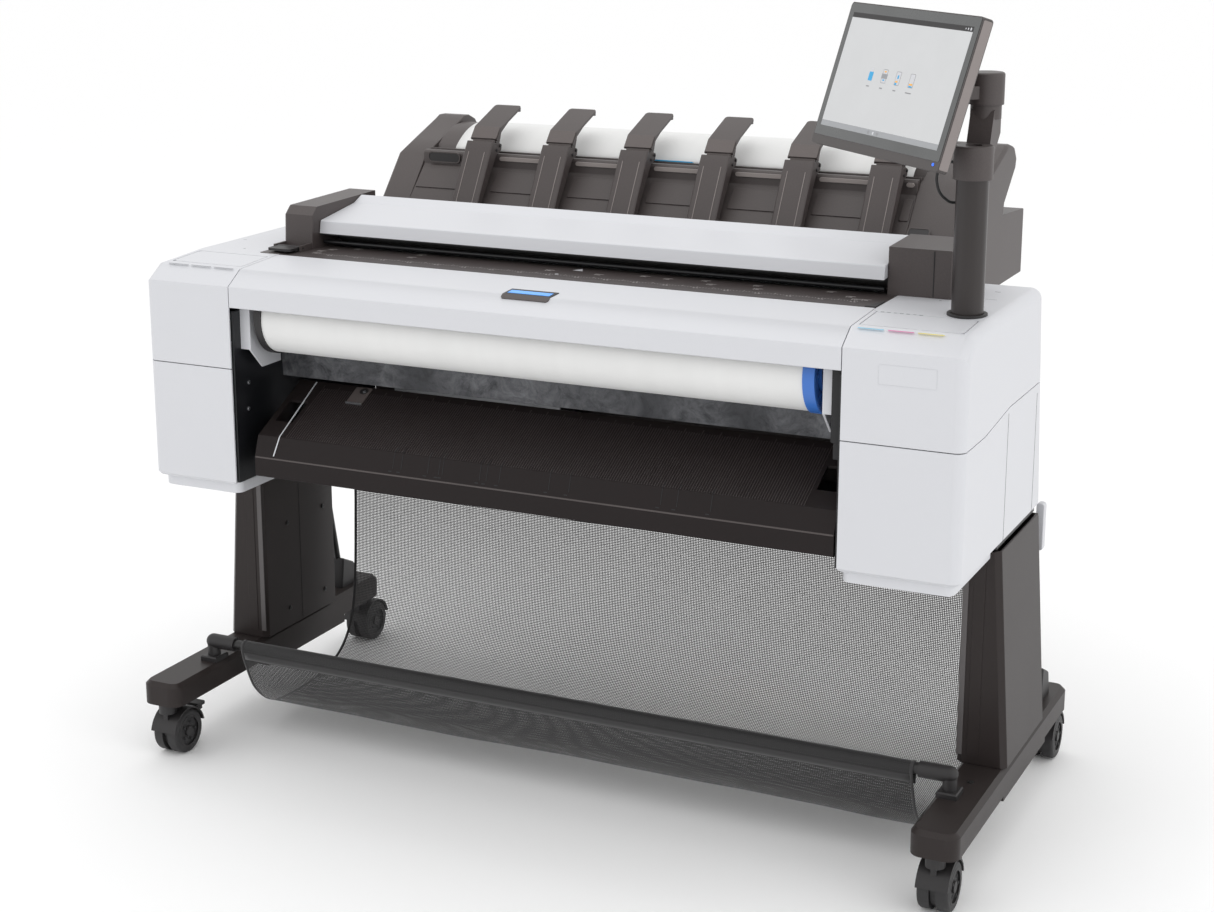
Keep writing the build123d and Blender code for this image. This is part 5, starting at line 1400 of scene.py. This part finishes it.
def make_bay_details():
    left = [(BAY_LEFT_X, y, z) for y, z in BAY_SCREWS]
    screws("bay_screws_left", left, ALONG_X, SCREW_RADIUS, "chassis", bare_steel)
    right = [(BAY_RIGHT_X, y, z) for y, z in BAY_SCREWS]
    screws("bay_screws_right", right, (-1, 0, 0), SCREW_RADIUS, "chassis", bare_steel)
    shape = bmesh.new()
    rim(shape, (LEFT_RING_X, ROLL_Y, ROLL_Z), ALONG_Y, ALONG_Z, disc(62), disc(49), -1.5, 1.5)
    finish_piece("left_hub_ring", shape, black_plastic, "paper_roll", 0.4)
    shape = bmesh.new()
    rim(shape, (BLUE_FACE_X, ROLL_Y, ROLL_Z), ALONG_Y, ALONG_Z, disc(56), disc(35), -6, -3)
    for i in range(HUB_RIBS):
        turn = 2 * pi * i / HUB_RIBS
        arm = Vector((0, cos(turn), sin(turn)))
        middle = Vector((BLUE_RIB_X, ROLL_Y, ROLL_Z)) + arm * 45
        plate(shape, middle, (0, -arm.z, arm.y), arm, rounded(5, 22, 1, 2), -2, 2)
    return finish_piece("blue_hub_ribs", shape, hub_blue, "paper_roll", 0.3)


make_bay_details()

# %% [markdown]
# Each leg is a folded steel column. A cover strip runs up its front, a joint line runs up its inner
# side, and screws hold it together and to the foot. The strip is a separate bent plate on the real
# stand, so here it is a raised plate with a round on its edges.

# %% Stand details
def make_stand_details():
    shape = bmesh.new()
    for side in (-1, 1):
        middle = side * LEG_MIDDLE_X
        block(shape, (middle - 9, LEG_FRONT_Y - 0.9, 150), (middle + 9, LEG_FRONT_Y + 0.4, 470))
    finish_piece("leg_front_strips", shape, stand_metal, "chassis", 0.4)
    shape = bmesh.new()
    for side in (-1, 1):
        edge = side * LEG_INNER_X
        block(shape, (edge - 0.35, -56, 140), (edge + 0.35, -54.8, 476))
    finish_piece("leg_joints", shape, seam_black, "chassis")
    for side, label in ((-1, "left"), (1, "right")):
        inner = [(side * LEG_INNER_X, y, z) for y in (-95, 20) for z in (170, 330, 450)]
        screws(f"leg_screws_{label}", inner, (-side, 0, 0), 4.2, "chassis", bar_metal)
        outer = [(side * LEG_OUTER_X, -37, 436), (side * LEG_OUTER_X, -132, 429)]
        screws(f"column_screws_{label}", outer, (side, 0, 0), 4.6, "chassis", bar_metal)
        tops = [(side * FOOT_MIDDLE_X, y, FOOT_TOP_Z) for y in (-235, 95)]
        screws(f"foot_screws_{label}", tops, ALONG_Z, 5.0, "chassis", bar_metal)


make_stand_details()

# %% [markdown]
# Twin wheels have a dished face with a hub cap. The cap turns with its wheel, so each one rides on
# the wheel's own body. It is made of a ring and a low disc, and five round studs let the turning
# show.

# %% Caster caps
WHEEL_RADIUS = 37.5
WHEEL_FACE = 24         # a wheel's outer face from the middle of its caster
CASTERS = (
    ("front_left", -FOOT_MIDDLE_X, -383),
    ("front_right", FOOT_MIDDLE_X, -383),
    ("rear_left", -FOOT_MIDDLE_X, 227),
    ("rear_right", FOOT_MIDDLE_X, 227),
)


def make_caster_caps():
    for label, x, y in CASTERS:
        shape, holes = bmesh.new(), bmesh.new()
        for side in (-1, 1):
            at = Vector((x + side * WHEEL_FACE, y, WHEEL_RADIUS))
            right = (0, side, 0)
            rim(shape, at, right, ALONG_Z, rounded(56, 56, 27.9, 7), rounded(48, 48, 23.9, 7), -0.8, 0.4)
            rod(shape, at - Vector((side * 1.0, 0, 0)), at + Vector((side * 0.45, 0, 0)), 8.5, 24)
            for i in range(5):
                turn = 2 * pi * i / 5
                spot = at + Vector((0, 16 * cos(turn), 16 * sin(turn)))
                rod(holes, spot - Vector((side * 0.6, 0, 0)), spot + Vector((side * 0.25, 0, 0)), 2.8, 14)
        finish_piece(f"wheel_cap_{label}", shape, black_plastic, f"wheels_{label}", 0.2)
        finish_piece(f"wheel_holes_{label}", holes, seam_black, f"wheels_{label}")


make_caster_caps()

# %% [markdown]
# The back of the machine leans forward. It has two vertical joints, a grille of slots to let warm
# air out, a mains inlet with its switch, three small ports and a row of screws. They lie on a
# slanted face, so one function gives the place on it, and plates do the rest.

# %% Back panel
BACK_FOOT, BACK_HEAD = Vector((0, 50, 491)), Vector((0, -2.4, 844))
BACK_UP = (BACK_HEAD - BACK_FOOT).normalized()
BACK_RIGHT = (-1, 0, 0)


def on_back(x, z):
    """A place on the slanted rear cover, in millimetres."""
    share = (z - BACK_FOOT.z) / (BACK_HEAD.z - BACK_FOOT.z)
    at = BACK_FOOT.lerp(BACK_HEAD, share)
    return Vector((x, at.y, at.z))


def make_back_panel():
    shape = bmesh.new()
    for x in (-250, 260):
        plate(shape, on_back(x, 667), BACK_RIGHT, BACK_UP, rounded(1.4, 350, 0.3, 2), -0.4, 0.12)
    # painted shade: each vent slot is a dark plate where the open slot would show its dark inside
    for column in (-120, 20):
        for row in range(9):
            slot = on_back(column, 620 + 11 * row)
            plate(shape, slot, BACK_RIGHT, BACK_UP, rounded(110, 4.6, 2.2, 3), -0.5, 0.2)
    finish_piece("back_joints_and_slot_shades", shape, seam_black, "chassis")
    shape = bmesh.new()
    plate(shape, on_back(400, 545), BACK_RIGHT, BACK_UP, rounded(64, 46, 4), -0.5, 1.6)
    for i, size in enumerate((16, 16, 22)):
        plate(shape, on_back(-300 - 34 * i, 560), BACK_RIGHT, BACK_UP, rounded(size, 13, 1.5), -0.5, 1.0)
    finish_piece("back_sockets", shape, black_plastic, "chassis", 0.4)
    shape = bmesh.new()
    plate(shape, on_back(388, 545) + Vector((0, 1.6, 0)), BACK_RIGHT, BACK_UP, rounded(22, 17, 4), -0.5, 0.7)
    plate(shape, on_back(418, 545) + Vector((0, 1.6, 0)), BACK_RIGHT, BACK_UP, rounded(13, 22, 2), -0.5, 1.9)
    finish_piece("back_inlet_switch", shape, dark_plastic, "chassis", 0.3)
    places = [on_back(x, z) for x in (-480, -270, 0, 280, 480) for z in (505, 830)]
    out = Vector(BACK_RIGHT).cross(BACK_UP)
    return screws("back_screws", places, out, SCREW_RADIUS, "chassis", bare_steel)


make_back_panel()

# %% [markdown]
# The pole's foot sits in a collar on the right cover. The back of the screen has two rows of upright
# vents near its top, and two clips hold its case together from below.

# %% Pole and screen back
POLE_FOOT = (637, -239, TOP_Z)
GLASS_OUT = GLASS_RIGHT.cross(GLASS_UP)
SCREEN_THICKNESS = 18


def make_pole_details():
    shape = bmesh.new()
    outer, inner = 29, 23.3
    wide = rounded(2 * outer, 2 * outer, outer * 0.999, 9)
    narrow = rounded(2 * inner, 2 * inner, inner * 0.999, 9)
    rim(shape, POLE_FOOT, ALONG_X, ALONG_Y, wide, narrow, -0.4, 3.2)
    finish_piece("pole_collar", shape, black_plastic, "chassis", 0.6)
    shape = bmesh.new()
    back = GLASS_MIDDLE - GLASS_OUT * SCREEN_THICKNESS
    # painted shade: each vent is a dark plate where the open vent would show its dark inside
    for i in range(9):
        for start in (-150, 78):
            middle = back + GLASS_RIGHT * (start + 9 * i) + GLASS_UP * 66
            plate(shape, middle, -GLASS_RIGHT, GLASS_UP, rounded(3, 26, 1.4, 3), -0.5, 0.25)
    finish_piece("screen_vent_shades", shape, seam_black, "screen")
    shape = bmesh.new()
    for across in (40, -110):
        middle = back - GLASS_UP * 106 + GLASS_RIGHT * across + GLASS_OUT * SCREEN_THICKNESS / 2
        plate(shape, middle, GLASS_RIGHT, GLASS_OUT, rounded(22, 7, 2), -1.2, 1.2)
    return finish_piece("screen_clips", shape, black_plastic, "screen", 0.4)


make_pole_details()

# %% [markdown]
# A few trims finish the casing. A black guard covers the right roll bracket's front flange beside
# the bay wall, each side cover ends in a set-in lip with rubber pads, a light strip shows in the
# corner of each leg, and a pale clip stands behind the right leg. They are separate mouldings.

# %% Casing trims
def make_bay_guards():
    shape = bmesh.new()
    block(shape, (486, -379, 676), (500.6, -369.6, 783))
    block(shape, (490, -379, 652), (500.6, -372, 677))
    finish_piece("bay_guards", shape, seam_black, "chassis", 1.2)


def make_cover_lips():
    shape, pads = bmesh.new(), bmesh.new()
    for low_x, high_x in ((-673, -524), (507, 673)):
        middle = ((low_x + high_x) / 2, -278, 491)
        plate(shape, middle, ALONG_X, ALONG_Y, rounded(high_x - low_x, 206, 14), -17.5, 0.6)
        for x in (low_x + 22, high_x - 30):
            plate(pads, (x, -362, 473.5), ALONG_X, ALONG_Y, rounded(30, 18, 4), -3.5, 0.6)
    finish_piece("cover_lips", shape, cover_white, "chassis", 1.0)
    finish_piece("cover_pads", pads, roller_rubber, "chassis", 0.6)


def make_leg_strips():
    shape = bmesh.new()
    for side in (-1, 1):
        middle = side * (LEG_INNER_X + 5)
        block(shape, (middle - 4.5, LEG_FRONT_Y - 1.2, 150), (middle + 4.5, LEG_FRONT_Y + 0.2, 474))
    return finish_piece("leg_light_strips", shape, leg_strip_grey, "chassis", 0.4)


def make_rear_clip():
    shape = bmesh.new()
    plate(shape, (679, 93, 446), ALONG_X, ALONG_Z, rounded(13, 78, 5), -8, 8)
    finish_piece("rear_hose_clip", shape, bracket_white, "chassis", 1.5)


leg_strip_grey = coated("leg_strip_grey", tone(84, 80, 80), 0.35, grain=800, depth=0.00003, vary=0.06)
make_bay_guards()
make_cover_lips()
make_leg_strips()
make_rear_clip()
print("trims made")

# %% [markdown]
# The rim of the screen is a lighter plastic than its chin, and its right side catches the light. A
# strip on each narrow side makes it. Its light grey is the lighter plastic with a painted highlight
# in it. Two engineering parts also get a finish of their own: the pole is darker than the stacker,
# and the scan bed is a lighter brown than the loading platform.

# %% Screen sides, pole and bed
def make_screen_sides():
    shape = bmesh.new()
    for side in (-1, 1):
        middle = GLASS_MIDDLE + GLASS_RIGHT * side * GLASS_WIDTH / 2 - GLASS_OUT * 8.5
        plate(shape, middle, GLASS_OUT * -side, GLASS_UP, rounded(14, 206, 2), -0.4, 0.5)
    return finish_piece("screen_side_strips", shape, edge_grey_and_highlight, "screen", 0.2)


# lighter plastic with a painted highlight, on both narrow sides
edge_grey_and_highlight = coated("edge_grey_and_highlight", tone(132, 124, 122), 0.36, grain=800, depth=0.00002, vary=0.05)
pole_brown = coated("pole_brown", tone(40, 34, 33), 0.36, grain=800, depth=0.00004, vary=0.1)
bed_brown = coated("bed_brown", tone(62, 55, 54), 0.44, grain=900, depth=0.00003, vary=0.08)
make_screen_sides()
nodes["screen_pole"].data.materials[0] = pole_brown
nodes["scan_bed"].data.materials[0] = bed_brown
print("pole and bed", nodes["screen_pole"].data.materials[0].name, nodes["scan_bed"].data.materials[0].name)
